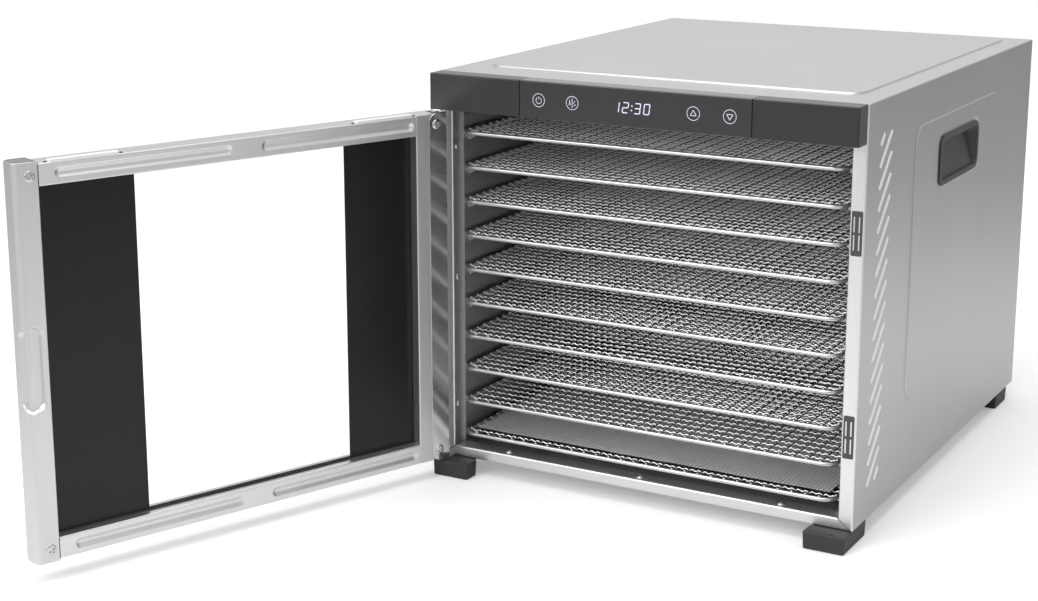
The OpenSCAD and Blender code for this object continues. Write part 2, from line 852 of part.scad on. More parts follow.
// Two steel plates, each with two teeth that reach the face
module pole_pair(grow) {
    for (side = [-1, 1]) {
        x0 = side * pole_gap - pole_t / 2 - grow;
        x1 = side * pole_gap + pole_t / 2 + grow;
        block([x0, pole_y - grow, -pole_h / 2 - grow], [x1, pole_back + grow, pole_h / 2 + grow]);
        for (row = [-1, 1]) {
            z = row * (tooth_gap + tooth_h) / 2;
            block([x0, -catch_proud - grow, z - tooth_h / 2 - grow],
                [x1, pole_y + 1, z + tooth_h / 2 + grow]);
        }
    }
}

module catch_housings() {
    color(rubber_grey) at_catches() difference() {
        union() {
            block([-catch_w / 2, -catch_proud, -catch_h / 2], [catch_w / 2, 0, catch_h / 2]);
            block([-catch_body_w / 2, -catch_proud, -catch_body_h / 2],
                [catch_body_w / 2, catch_depth, catch_body_h / 2]);
        }
        pole_pair(press_gap);
        block([-pole_gap, pole_y, -pole_h / 2 - press_gap],
            [pole_gap, catch_depth + 1, pole_h / 2 + press_gap]);
        block([-pole_gap - pole_t, pole_back - 1, -pole_h / 2 - press_gap],
            [pole_gap + pole_t, catch_depth + 1, pole_h / 2 + press_gap]);
    }
}

module catch_pole_plates() {
    color(bright_steel) at_catches() pole_pair(0);
}

module catch_magnets() {
    half = pole_gap - pole_t / 2 - press_gap;
    color([0.3, 0.3, 0.32]) at_catches() block([-half, pole_y, -pole_h / 2], [half, pole_back, pole_h / 2]);
}

// ---- Hinges

module hinge_tab(z0, z1) {
    along_z(z0, z1) {
        translate([0.5, pin_y]) square([post_w - 0.5, -pin_y]);
        translate([pin_x, pin_y]) circle(knuckle_r);
        translate([pin_x, pin_y - knuckle_r]) square([post_w - pin_x - 2, knuckle_r + 1]);
    }
}

module upper_hinge_bracket() {
    color(bright_steel) {
        hinge_tab(z_fascia - tab_t, z_fascia);
        along_z(door_z1 - pin_l, z_fascia - tab_t + eps) translate([pin_x, pin_y]) circle(pin_r);
    }
}

module lower_hinge_bracket() {
    color(bright_steel) {
        hinge_tab(z_base, z_base + tab_t);
        along_z(z_base + tab_t - eps, door_z0 + pin_l) translate([pin_x, pin_y]) circle(pin_r);
    }
}

module hinge_washers() {
    color("white") for (span = [[z_base + tab_t, door_z0], [door_z1, z_fascia - tab_t]])
        translate([pin_x, pin_y, span[0]]) difference() {
            cylinder(r = knuckle_r, h = span[1] - span[0]);
            translate([0, 0, -1]) cylinder(r = pin_r + shaft_gap, h = span[1] - span[0] + 2);
        }
}

// ---- Feet and fasteners

module foot(y0, y1) {
    difference() {
        along_z(0, z_base) field([0, y0], [foot_w, y1], 2);
        for (y = foot_screw_y) translate([foot_w / 2, y, -1]) {
            cylinder(r = screw_head_r + 1.2, h = foot_h / 2 + 1);
            cylinder(r = screw_r + 0.1, h = foot_h + 2);
        }
    }
}

// A front foot is cut away at its inner back corner
module front_foot() {
    turn_y = front_foot_straight - fascia_d;
    past_x = foot_w + 1;
    past_y = front_foot_back + 1;
    difference() {
        foot(-fascia_d, front_foot_back);
        along_z(-1, z_base + 1)
            polygon([[foot_w, turn_y], [past_x, turn_y], [past_x, past_y],
                [front_foot_tail, past_y], [front_foot_tail, front_foot_back]]);
    }
}

module front_feet() {
    color(rubber_grey) {
        front_foot();
        mirrored_right() front_foot();
    }
}

module rear_feet() {
    color(rubber_grey) {
        foot(rear_foot_y1 - rear_foot_d, rear_foot_y1);
        mirrored_right() foot(rear_foot_y1 - rear_foot_d, rear_foot_y1);
    }
}

module foot_screws() {
    color(bright_steel) at_feet_screws() translate([0, 0, foot_h / 2]) mirror([0, 0, 1])
        screw(foot_h / 2 + sheet + 1.5);
}

module liner_screws() {
    color(bright_steel) {
        at_liner_screws() screw();
        mirrored_right() at_liner_screws() screw();
        at_sill_screws() screw(3);
    }
}

module back_screws() {
    color(bright_steel) {
        at_back_screws() screw();
        at_cover_screws() screw();
    }
}

// ---- Door

module opened() {
    translate([pin_x, pin_y, 0]) rotate([0, 0, -door_open]) translate([-pin_x, -pin_y, 0]) children();
}

// Section of the handle stile in plan: square towards the glass, rounded at the free edge
module handle_section(inset) {
    flat = handle_stile_w - stile_r - inset;
    translate([handle_inner_x + inset, door_out + inset]) square([flat, door_t - 2 * inset]);
    translate([door_x1 - stile_r, door_out + stile_r]) square([stile_r - inset, door_t - 2 * stile_r]);
    for (y = [door_out + stile_r, door_in - stile_r])
        translate([door_x1 - stile_r, y]) circle(stile_r - inset);
}

// Round-ended prism through the free edge's inner corner
module grip_shape(grow) {
    translate([grip_x, grip_y, grip_z]) rotate([0, 0, -grip_turn]) along_y(-grip_w / 2, 0.75 * grip_w)
        field([-grip_w / 2 - grow, -grip_l / 2 - grow], [grip_w / 2 + grow, grip_l / 2 + grow],
            grip_w / 2 + grow - 0.01);
}

module handle_stile() {
    z0 = door_z0 - stile_over;
    z1 = door_z1 + stile_over;
    color(steel) opened() difference() {
        union() {
            difference() {
                along_z(z0, z1) handle_section(0);
                along_z(z0 + frame_wall, z1 - frame_wall) handle_section(frame_wall);
            }
            difference() {
                intersection() {
                    grip_shape(frame_wall);
                    along_z(z0, z1) handle_section(0);
                }
                along_z(z0 - 1, z1 + 1) handle_section(grip_d + frame_wall);
            }
        }
        difference() {
            grip_shape(0);
            along_z(z0 - 1, z1 + 1) handle_section(grip_d);
        }
        block([handle_inner_x - 1, slot_y0, door_z0 + rail_h - glass_seat],
            [handle_inner_x + glass_seat, slot_y1, door_z1 - rail_h + glass_seat]);
        for (z = [door_z0 + door_screw_inset, door_z1 - door_screw_inset])
            translate([handle_screw_x, door_in, z]) rotate([-90, 0, 0]) screw_hole();
    }
}

module hinge_stile() {
    x0 = door_x;
    color(steel) opened() difference() {
        along_z(door_z0, door_z1) field([x0, door_out], [hinge_inner_x, door_in], 0.8);
        block([x0 + frame_wall, door_out + frame_wall, door_z0 + bush_l],
            [hinge_inner_x - frame_wall, door_in - strip_t - frame_wall, door_z1 - bush_l]);
        block([x0 + frame_wall, pin_y - bush_h / 2, door_z0 - 1],
            [x0 + frame_wall + bush_w, pin_y + bush_h / 2, door_z1 + 1]);
        block([x0 - 1, door_in - strip_t, door_z0 - 1], [x0 + strip_w + fit_gap, door_in + 1, door_z1 + 1]);
        block([hinge_inner_x - glass_seat, slot_y0, door_z0 + rail_h - glass_seat],
            [hinge_inner_x + 1, slot_y1, door_z1 - rail_h + glass_seat]);
        for (z = [door_z0 + door_screw_inset, door_z1 - door_screw_inset])
            translate([strip_screw_x, door_in, z]) rotate([-90, 0, 0]) screw_hole();
    }
}

// A rail lying along X, with its glass slot towards inner_z and two pressed channels on its inner face
module rail(z0, z1, inner_z, away) {
    mid_z = (z0 + z1) / 2;
    reach = 3.2;
    x0 = hinge_inner_x;
    x1 = handle_inner_x;
    half = (x0 + x1) / 2;
    difference() {
        block([x0, door_out, z0], [x1, door_in, z1]);
        block([x0 - 1, door_out + frame_wall, z0 + frame_wall],
            [x1 + 1, door_in - frame_wall, z1 - frame_wall]);
        block([x0 - 1, slot_y0, min(inner_z, inner_z + away * glass_seat)],
            [x1 + 1, slot_y1, max(inner_z, inner_z + away * glass_seat)]);
        block([x0 - 1, slot_y0, inner_z - 1], [x1 + 1, slot_y1, inner_z + 1]);
        for (span = [[x0 + 2, half - 17], [half + 6, x1 - 11]])
            along_y(door_in - 0.7, door_in + 1)
                field([span[0], mid_z - reach], [span[1], mid_z + reach], reach - 0.01);
    }
}

module top_rail() {
    color(steel) opened() rail(door_z1 - rail_h, door_z1, door_z1 - rail_h, 1);
}

module bottom_rail() {
    color(steel) opened() rail(door_z0, door_z0 + rail_h, door_z0 + rail_h, -1);
}

glass_lo = [hinge_inner_x - glass_seat + 1, glass_y0, door_z0 + rail_h - glass_seat + 1];
glass_hi = [handle_inner_x + glass_seat - 1, glass_y1, door_z1 - rail_h + glass_seat - 1];

module door_glass() {
    color([0.6, 0.65, 0.68, 0.4]) opened() block(glass_lo, glass_hi);
}

module glass_seal() {
    lip = glass_seat + 1;
    lo = glass_lo - [0.8, 0, 0.8];
    hi = glass_hi + [0.8, 0, 0.8];
    color([0.08, 0.08, 0.08]) opened() difference() {
        block([lo[0], slot_y0 + press_gap, lo[2]], [hi[0], slot_y1 - press_gap, hi[2]]);
        block([lo[0] + lip, slot_y0 - 1, lo[2] + lip], [hi[0] - lip, slot_y1 + 1, hi[2] - lip]);
        block(glass_lo, glass_hi);
    }
}

module hinge_strip() {
    lo = [door_x, door_z0 - strip_over];
    hi = [door_x + strip_w, door_z1 + strip_over];
    color(bright_steel) opened() difference() {
        along_y(door_in - strip_t, door_in) {
            field(lo, hi, strip_r);
            translate(lo) square([strip_w - strip_r, hi[1] - lo[1]]);
        }
        for (z = [door_z0 + door_screw_inset, door_z1 - door_screw_inset])
            translate([strip_screw_x, door_in, z]) rotate([-90, 0, 0]) screw_hole();
    }
}

module hinge_bushes() {
    color("white") opened() for (span = [[door_z0, door_z0 + bush_l], [door_z1 - bush_l, door_z1]])
        difference() {
            block([door_x + frame_wall + press_gap, pin_y - bush_h / 2 + press_gap, span[0]],
                [door_x + frame_wall + bush_w - press_gap, pin_y + bush_h / 2 - press_gap, span[1]]);
            translate([pin_x, pin_y, span[0] - 1]) cylinder(r = pin_r + shaft_gap, h = bush_l + 2);
        }
}

module door_screws() {
    color(bright_steel) opened() for (z = [door_z0 + door_screw_inset, door_z1 - door_screw_inset]) {
        for (x = [handle_screw_x, strip_screw_x]) translate([x, door_in, z]) rotate([-90, 0, 0]) screw(4);
    }
}

// ---- Trays

module rod(p, turn, l) {
    translate(p) rotate(turn) cylinder(r = rod_r, h = l);
}

module rod_frame() {
    x0 = tray_x + rod_r;
    x1 = x0 + span_x;
    y0 = tray_y + rod_r;
    y1 = y0 + span_y;
    run_x = span_x - 2 * rod_corner;
    run_y = span_y - 2 * rod_corner;
    for (y = [y0, y1]) rod([x0 + rod_corner, y, 0], [0, 90, 0], run_x);
    for (x = [x0, x1]) rod([x, y0 + rod_corner, 0], [-90, 0, 0], run_y);
    in_x0 = x0 + rod_corner;
    in_x1 = x1 - rod_corner;
    in_y0 = y0 + rod_corner;
    in_y1 = y1 - rod_corner;
    for (bend = [[in_x1, in_y1, 0], [in_x0, in_y1, 90], [in_x0, in_y0, 180], [in_x1, in_y0, 270]])
        translate([bend[0], bend[1], 0]) rotate([0, 0, bend[2]])
            rotate_extrude(angle = 90) translate([rod_corner, 0]) circle(rod_r);
}

module mesh_wires() {
    x0 = tray_x + rod_r;
    y0 = tray_y + rod_r;
    edge_x = (span_x - (long_count - 1) * mesh_across) / 2;
    edge_y = (span_y - (cross_count - 1) * mesh_along) / 2;
    for (i = [0 : long_count - 1])
        translate([x0 + edge_x + i * mesh_across, y0, long_z]) rotate([-90, 0, 0])
            cylinder(r = wire_r, h = span_y, $fn = wire_fn);
    for (i = [0 : cross_count - 1])
        translate([x0, y0 + edge_y + i * mesh_along, cross_z]) rotate([0, 90, 0])
            cylinder(r = wire_r, h = span_x, $fn = wire_fn);
}

module tray(i) {
    color(bright_steel) translate([0, 0, tray_z(i)]) {
        rod_frame();
        mesh_wires();
    }
}

module fine_mesh_sheet() {
    z = tray_z(1) + long_z + wire_r;
    set = sheet_liner_set;
    color([0.72, 0.72, 0.72]) along_z(z, z + sheet_liner_t)
        field([tray_x + rod_d + 4, tray_y + set], [tray_x + tray_w - rod_d - 4, tray_y + tray_d - set], 4);
}

top_cover();
side_panel_left();
side_panel_right();
bottom_panel();
back_panel();
liner_left();
liner_right();
floor_liner();
ceiling_liner();
air_baffle();
fascia();
display_panel();
led_display();
control_board();
power_board();
fan_motor();
motor_bracket();
heating_element();
thermal_cutout();
temperature_probe();
rear_cover();
power_inlet();
inlet_pins();
handle_cup_left();
handle_cup_right();
catch_housings();
catch_pole_plates();
catch_magnets();
upper_hinge_bracket();
lower_hinge_bracket();
hinge_washers();
front_feet();
rear_feet();
foot_screws();
liner_screws();
back_screws();
handle_stile();
hinge_stile();
top_rail();
bottom_rail();
door_glass();
glass_seal();
hinge_strip();
hinge_bushes();
door_screws();
fan_blade();
motor_shaft();
tray(1);  // tray_1
tray(2);  // tray_2
tray(3);  // tray_3
tray(4);  // tray_4
tray(5);  // tray_5
tray(6);  // tray_6
tray(7);  // tray_7
tray(8);  // tray_8
tray(9);  // tray_9
tray(10);  // tray_10
fine_mesh_sheet();
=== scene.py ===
import bpy
import bmesh
import json
import math
from mathutils import Matrix, Vector
from mathutils.geometry import convex_hull_2d


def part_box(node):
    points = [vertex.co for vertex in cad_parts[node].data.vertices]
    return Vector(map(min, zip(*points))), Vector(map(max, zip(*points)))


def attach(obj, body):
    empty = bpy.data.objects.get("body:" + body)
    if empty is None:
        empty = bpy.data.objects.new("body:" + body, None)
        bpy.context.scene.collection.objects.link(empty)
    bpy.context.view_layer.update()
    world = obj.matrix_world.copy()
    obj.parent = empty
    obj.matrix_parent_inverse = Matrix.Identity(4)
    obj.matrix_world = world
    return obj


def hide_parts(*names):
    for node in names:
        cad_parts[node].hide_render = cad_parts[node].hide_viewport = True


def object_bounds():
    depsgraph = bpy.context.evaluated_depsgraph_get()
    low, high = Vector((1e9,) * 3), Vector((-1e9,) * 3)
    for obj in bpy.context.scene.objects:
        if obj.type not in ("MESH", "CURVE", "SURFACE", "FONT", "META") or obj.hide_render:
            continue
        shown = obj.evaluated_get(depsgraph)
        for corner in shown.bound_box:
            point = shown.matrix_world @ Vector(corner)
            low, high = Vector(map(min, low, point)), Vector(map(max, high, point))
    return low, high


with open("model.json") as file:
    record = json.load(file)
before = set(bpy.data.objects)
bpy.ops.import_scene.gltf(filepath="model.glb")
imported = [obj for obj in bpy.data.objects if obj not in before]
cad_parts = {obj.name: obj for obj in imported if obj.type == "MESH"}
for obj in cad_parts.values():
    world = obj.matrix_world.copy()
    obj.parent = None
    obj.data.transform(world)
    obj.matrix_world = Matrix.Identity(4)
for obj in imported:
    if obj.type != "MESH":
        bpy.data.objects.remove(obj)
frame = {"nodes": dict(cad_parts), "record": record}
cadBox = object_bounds()
print("frame loaded")

mm = 0.001
near = 0.01 * mm  # points closer than this count as level
sharp = 0.01 * mm  # radius of a square corner
record = frame["record"]
joints = {j["name"]: j for j in record["behaviour"]["joints"]}


# places taken from the frame

def points(node):
    return [v.co.copy() for v in frame["nodes"][node].data.vertices]


# box of the given points
def spread(found):
    lo = Vector([min(p[i] for p in found) for i in range(3)])
    hi = Vector([max(p[i] for p in found) for i in range(3)])
    return lo, hi


hinge = joints["door_hinge"]
pivot = Vector(hinge["pos_m"])
openTurn = math.radians(hinge["range_deg"][0])  # about +Z, from closed to the rest pose
toOpen = Matrix.Translation(pivot) @ Matrix.Rotation(openTurn, 4, "Z") @ Matrix.Translation(-pivot)
toClosed = toOpen.inverted()


# box of a door node as if the door were closed
def closedBox(node):
    return spread([toClosed @ p for p in points(node)])


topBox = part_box("top_cover")
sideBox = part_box("side_panel_right")
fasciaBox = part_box("fascia")
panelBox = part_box("display_panel")

cab = {"sheet": 1 * mm, "wall": 0.9 * mm, "bend": 1.3 * mm,
       "post": 11 * mm, "sill": 8.5 * mm, "lip": 14 * mm}
cab["w"] = topBox[1].x
cab["d"] = topBox[1].y
cab["low"] = sideBox[0].z
cab["top"] = topBox[0].z + cab["sheet"]
midX = cab["w"] / 2
topField = spread([p for p in points("top_cover") if p.z > topBox[1].z - near])
sideField = spread([p for p in points("side_panel_right") if p.x > sideBox[1].x - near])
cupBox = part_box("handle_cup_right")


# camera, first of all

# lens and place come from a fit to the cabinet's and the door's corners
camera = {"lens": 65.38, "yaw": 29.64, "down": 12.95, "place": (0.7660, -1.2229, 0.5218), "shift": -0.06}
cam = bpy.data.objects.new("camera", bpy.data.cameras.new("camera"))
bpy.context.collection.objects.link(cam)
cam.location = camera["place"]
cam.rotation_euler = (math.radians(90 - camera["down"]), 0, math.radians(camera["yaw"]))
cam.data.lens = camera["lens"]
cam.data.shift_y = camera["shift"]
cam.data.clip_start = 0.01
bpy.context.scene.camera = cam
print("camera placed")


# node trees as expressions

# a number or vector inside a node tree
class Term:
    def __init__(self, graph, socket):
        self.graph = graph
        self.socket = socket

    def math(self, operation, *others):
        return self.graph.node("ShaderNodeMath", [self, *others], operation=operation)

    def __add__(self, other):
        return self.math("ADD", other)

    def __sub__(self, other):
        return self.math("SUBTRACT", other)

    def __mul__(self, other):
        return self.math("MULTIPLY", other)

    def __truediv__(self, other):
        return self.math("DIVIDE", other)

    def __radd__(self, other):
        return self.math("ADD", other)

    def __rmul__(self, other):
        return self.math("MULTIPLY", other)

    def __rsub__(self, other):
        return self.graph.node("ShaderNodeMath", [other, self], operation="SUBTRACT")

    def __rtruediv__(self, other):
        return self.graph.node("ShaderNodeMath", [other, self], operation="DIVIDE")

    def clamp(self, low=0.0, high=1.0):
        return self.math("MAXIMUM", low).math("MINIMUM", high)

    # smooth step from 0 at low to 1 at high
    def step(self, low, high):
        sockets = {"Value": self, "From Min": low, "From Max": high}
        return self.graph.node("ShaderNodeMapRange", sockets, interpolation_type="SMOOTHSTEP")


class Graph:
    def __init__(self, tree):
        self.tree = tree

    # any node: its sockets by name or in order, its settings by keyword
    def node(self, kind, sockets=(), output=0, **settings):
        made = self.tree.nodes.new(kind)
        for key, value in settings.items():
            setattr(made, key, value)
        pairs = sockets.items() if isinstance(sockets, dict) else enumerate(sockets)
        for key, value in pairs:
            self.put(made.inputs[key], value)
        return Term(self, made.outputs[output]) if made.outputs else None

    def put(self, socket, value):
        if isinstance(value, Term):
            self.tree.links.new(value.socket, socket)
        else:
            socket.default_value = value


class Material(Graph):
    def __init__(self, name):
        self.data = bpy.data.materials.new(name)
        self.data.use_nodes = True
        super().__init__(self.data.node_tree)
        self.tree.nodes.clear()
        self.place = self.node("ShaderNodeTexCoord", output="Object")

    # object coordinates in metres, turned about Z and stretched
    def coords(self, scale=(1, 1, 1), turn=0.0):
        turned = self.node("ShaderNodeMapping", {"Vector": self.place, "Rotation": (0, 0, turn)})
        return self.node("ShaderNodeMapping", {"Vector": turned, "Scale": scale})

    def noise(self, vector, scale=1.0, detail=3.0, roughness=0.5):
        sockets = {"Vector": vector, "Scale": scale, "Detail": detail, "Roughness": roughness}
        return self.node("ShaderNodeTexNoise", sockets)

    def colour(self, factor, a, b):
        made = self.tree.nodes.new("ShaderNodeMix")
        made.data_type = "RGBA"
        self.put(made.inputs[0], factor)
        self.put(made.inputs[6], a if isinstance(a, Term) else (*a, 1))
        self.put(made.inputs[7], b if isinstance(b, Term) else (*b, 1))
        return Term(self, made.outputs[2])

    def bump(self, height, distance, strength=1.0):
        return self.node("ShaderNodeBump", {"Height": height, "Distance": distance, "Strength": strength})

    def close(self, sockets):
        surface = self.node("ShaderNodeBsdfPrincipled", {
            key: (*value, 1) if isinstance(value, tuple) and len(value) == 3 else value
            for key, value in sockets.items()})
        self.node("ShaderNodeOutputMaterial", [surface])
        return self.data


def grey(value, tint=0.0):
    return (value - tint, value, value + tint)


# materials

# stretch of the lines across and along the grain, and how far tone and roughness swing
brush = {"across": 900, "long": 12, "short": 60, "finer": 2.2, "dark": 0.88, "light": 1.08, "rough": 0.24}


# brushed sheet: grain is the axis that the lines follow, turn is the turn of a door piece
def brushed(name, tone, rough, grain, turn=0.0, depth=0.00002, metal=1.0):
    m = Material(name)
    stretch = [brush["across"]] * 3
    stretch["xyz".index(grain)] = brush["long"]
    lines = m.noise(m.coords(tuple(stretch), turn), detail=4, roughness=0.6)
    stretch["xyz".index(grain)] = brush["short"]
    fine = m.noise(m.coords(tuple(brush["finer"] * s for s in stretch), turn), detail=2)
    cloudy = m.noise(m.place, 9, detail=2)
    dark, light = grey(tone * brush["dark"], 0.002), grey(tone * brush["light"])
    tone = m.colour((lines * 0.6 + cloudy * 0.5).clamp(), dark, light)
    rough = rough + (lines - 0.5) * brush["rough"] + (cloudy - 0.5) * 0.06
    return m.close({"Base Color": tone, "Metallic": metal, "Roughness": rough,
                    "Normal": m.bump(lines * 0.7 + fine * 0.3, depth)})


# bright drawn or polished steel with faint marks
def bright(name, tone, rough, marks=0.00002, metal=1.0):
    m = Material(name)
    drawn = m.noise(m.place, 420, detail=3)
    cloudy = m.noise(m.place, 30, detail=2)
    tone = m.colour(cloudy, grey(tone * 0.94), grey(tone * 1.04))
    return m.close({"Base Color": tone, "Metallic": metal, "Roughness": rough + (drawn - 0.5) * 0.12,
                    "Normal": m.bump(drawn, marks)})


# moulded plastic or rubber: a fine spark-eroded skin, rubbed smoother in places
def moulded(name, tone, rough, skin=0.00004, coat=0.0, scale=1500, tint=0.002, gloss=0.5):
    m = Material(name)
    grains = m.noise(m.place, scale, detail=2)
    rubbed = m.noise(m.place, 24, detail=3)
    tone = m.colour(rubbed, grey(tone * 0.88, tint), grey(tone * 1.12, tint))
    return m.close({"Base Color": tone, "Roughness": rough + (grains - 0.5) * 0.1 - (rubbed - 0.5) * 0.08,
                    "Specular IOR Level": gloss, "Coat Weight": coat, "Coat Roughness": 0.08,
                    "Normal": m.bump(grains, skin)})


def glowing(name, tone, strength):
    m = Material(name)
    patch = m.noise(m.place, 600, detail=1)
    lit = m.colour(patch, tuple(0.9 * c for c in tone), tone)
    return m.close({"Base Color": lit, "Roughness": 0.4,
                    "Emission Color": lit, "Emission Strength": strength})


def clearGlass(name):
    m = Material(name)
    smear = m.noise(m.place, 35, detail=4)
    return m.close({"Base Color": (0.99, 0.995, 0.99), "Transmission Weight": 1.0, "IOR": 1.5,
                    "Specular IOR Level": 0.3, "Roughness": (smear - 0.45).clamp(0, 1) * 0.04})


woven = {"pitch": 3 * mm, "hole": 0.2, "thread": 0.86}


# pale threads with the holes between them painted dark: painted shade seen through the openings
def wovenSheet(name):
    m = Material(name)
    x = m.node("ShaderNodeSeparateXYZ", [m.place])
    y = m.node("ShaderNodeSeparateXYZ", [m.place], output=1)
    turns = 2 * math.pi / woven["pitch"]
    warp = (x * turns).math("SINE")
    weft = (y * turns).math("SINE")
    thread = (warp * 0.5 + 0.5) * (weft * -0.5 - 0.5) + 1
    stain = m.noise(m.place, 14, detail=3)
    tone = m.colour(thread * 0.85 + stain * 0.15, grey(woven["hole"]), grey(woven["thread"]))
    return m.close({"Base Color": tone, "Roughness": 0.45 + (stain - 0.5) * 0.2, "Metallic": 0.35,
                    "Normal": m.bump(thread, 0.0003)})


def board(name):
    m = Material(name)
    traces = m.node("ShaderNodeTexVoronoi", {"Vector": m.place, "Scale": 260.0}, output=1)
    shade = m.node("ShaderNodeSeparateColor", [traces])
    tone = m.colour(shade.step(0.3, 0.6), (0.02, 0.11, 0.05), (0.035, 0.19, 0.08))
    return m.close({"Base Color": tone, "Roughness": 0.35 + shade * 0.15, "Coat Weight": 0.4,
                    "Normal": m.bump(shade, 0.00005)})


# painted light and shade: one stainless steel, its tone set face by face, lighter on the front post, the
# sill and the door faces that catch the light, darker on the top, the side and in the chamber
steelSide = brushed("steelSide", 0.56, 0.34, "z")
steelPost = brushed("steelPost", 0.84, 0.36, "z")
steelTop = brushed("steelTop", 0.64, 0.4, "y")
steelAcross = brushed("steelAcross", 0.8, 0.34, "x")
steelDoorUpright = brushed("steelDoorUpright", 0.73, 0.4, "z", -openTurn)
steelDoorAcross = brushed("steelDoorAcross", 0.8, 0.4, "x", -openTurn)
steelChamber = brushed("steelChamber", 0.52, 0.4, "y", metal=0.95)
steelPolished = bright("steelPolished", 0.72, 0.12, 0.00001)
steelCap = bright("steelCap", 0.42, 0.35)
# painted light and shade: one wire steel in three tones, the cross wires near white and partly diffuse as
# lit, the rods darker, the lengthwise wires far darker as shaded
steelWire = bright("steelWire", 0.94, 0.36, metal=0.6)
steelRod = bright("steelRod", 0.64, 0.3)
steelLongWire = bright("steelLongWire", 0.24, 0.3)
steelScrew = bright("steelScrew", 0.68, 0.22)
steelHeater = bright("steelHeater", 0.3, 0.5, 0.0001)
fanMetal = bright("fanMetal", 0.62, 0.4)
# painted highlight: near-white, partly diffuse steel standing in for the light caught by the vent tongues
# and the top rail's strips
ventBright = bright("ventBright", 0.95, 0.3, metal=0.25)
fasciaGloss = moulded("fasciaGloss", 0.028, 0.24, 0.00001, coat=0.3, tint=0.0)
fasciaEnd = moulded("fasciaEnd", 0.022, 0.34, 0.00002, coat=0.15, tint=0.0)
# painted shade: black inlays standing in for the shade inside the rear cover's slots
darkSlot = moulded("darkSlot", 0.012, 0.7)
cupBlack = moulded("cupBlack", 0.036, 0.42)
catchBlack = moulded("catchBlack", 0.06, 0.4)
footRubber = moulded("footRubber", 0.03, 0.55, 0.00008, tint=0.0)
printBlack = moulded("printBlack", 0.006, 0.25, 0.000002, gloss=0.35, tint=0.0)
sealBlack = moulded("sealBlack", 0.02, 0.6)
whitePlastic = moulded("whitePlastic", 0.7, 0.35)
ceramic = moulded("ceramic", 0.72, 0.3, coat=0.5, tint=-0.04)
motorPaint = moulded("motorPaint", 0.3, 0.4)
magnetDark = moulded("magnetDark", 0.1, 0.5)
iconWhite = glowing("iconWhite", (0.6, 0.6, 0.74), 0.5)
ledWhite = glowing("ledWhite", (0.8, 0.82, 0.9), 0.05)
glass = clearGlass("glass")
fineMesh = wovenSheet("fineMesh")
boardGreen = board("boardGreen")
print("materials made")


# mesh building

# rounded rectangle, counter-clockwise; r is one radius or four from the low corner round
def roundRect(lo, hi, r, steps=6):
    radii = r if isinstance(r, (tuple, list)) else (r,) * 4
    limit = min(hi[0] - lo[0], hi[1] - lo[1]) / 2
    out = []
    corners = [(lo[0], lo[1], 1, 1, 180), (hi[0], lo[1], -1, 1, 270),
               (hi[0], hi[1], -1, -1, 0), (lo[0], hi[1], 1, -1, 90)]
    for (x, y, sx, sy, start), radius in zip(corners, radii):
        radius = min(max(radius, sharp), limit - 0.1 * near)
        for i in range(steps + 1):
            a = math.radians(start + 90 * i / steps)
            out.append((x + sx * radius + radius * math.cos(a), y + sy * radius + radius * math.sin(a)))
    return out


def inset(lo, hi, by):
    return (lo[0] + by, lo[1] + by), (hi[0] - by, hi[1] - by)


# closed outline of vectors moved inwards
def shrunk(outline, by):
    out = []
    for before, here, after in zip(outline[-1:] + outline[:-1], outline, outline[1:] + outline[:1]):
        a = (here - before).normalized()
        b = (after - here).normalized()
        inward = Vector((-a.y - b.y, a.x + b.x)) / 2
        out.append(here + inward * by / inward.length_squared)
    return out


def onTop(u, v, w):
    return Vector((u, v, w))


def onRight(u, v, w):
    return Vector((w, u, v))


def onFront(u, v, w):
    return Vector((u, -w, v))


def onBack(u, v, w):
    return Vector((-u, w, v))


# faces the inside of the closed door
def onDoor(u, v, w):
    return Vector((-u, w, v))


def ring(bm, outline, level, place):
    return [bm.verts.new(place(u, v, level)) for u, v in outline]


# joins rings of equal length; each ring is a list of vertices
def join(bm, rings, first=False, last=False, loop=True, material=0):
    faces = []
    for a, b in zip(rings, rings[1:]):
        count = len(a)
        for i in range(count if loop else count - 1):
            j = (i + 1) % count
            faces.append(bm.faces.new((a[i], a[j], b[j], b[i])))
    if first:
        faces.append(bm.faces.new(list(reversed(rings[0]))))
    if last:
        faces.append(bm.faces.new(rings[-1]))
    for f in faces:
        f.material_index = material
    return faces


# rings of one rounded rectangle: steps holds (inset, level) pairs
def stack(bm, lo, hi, r, steps, place, first=True, last=True, corner=6, material=0):
    rings = []
    for by, level in steps:
        a, b = inset(lo, hi, by)
        radii = [max(q - by, sharp) for q in r] if isinstance(r, (tuple, list)) else max(r - by, sharp)
        rings.append(ring(bm, roundRect(a, b, radii, corner), level, place))
    join(bm, rings, first, last, material=material)
    return rings


# (inset, level) pairs of a quarter round from the side at low to the face at high
def rounded(low, high, r, steps=4):
    turn = [math.radians(90 * i / steps) for i in range(steps + 1)]
    return [(0, low)] + [(r - r * math.cos(a), high - r + r * math.sin(a)) for a in turn]


def smoothShare(t):
    t = min(max(t, 0), 1)
    return 3 * t * t - 2 * t ** 3


# (inset, level) pairs of a pressed shoulder
def shoulder(start, width, low, high, steps=6):
    shares = [i / steps for i in range(steps + 1)]
    return [(start + width * t, low + (high - low) * smoothShare(t)) for t in shares]


# open line with its corners rounded; corners is a list of (x, y, radius)
def filleted(corners, steps=5):
    out = [Vector(corners[0][:2])]
    for before, here, after in zip(corners, corners[1:], corners[2:]):
        p = Vector(here[:2])
        a = (Vector(before[:2]) - p).normalized()
        b = (Vector(after[:2]) - p).normalized()
        half = a.angle(b) / 2
        reach = here[2] / math.tan(half)
        centre = p + (a + b).normalized() * here[2] / math.sin(half)
        start = (p + a * reach) - centre
        turn = a.angle_signed(b)
        sweep = (math.pi - abs(turn)) * (1 if turn > 0 else -1)
        for i in range(steps + 1):
            out.append(centre + Matrix.Rotation(sweep * i / steps, 2) @ start)
    out.append(Vector(corners[-1][:2]))
    return out


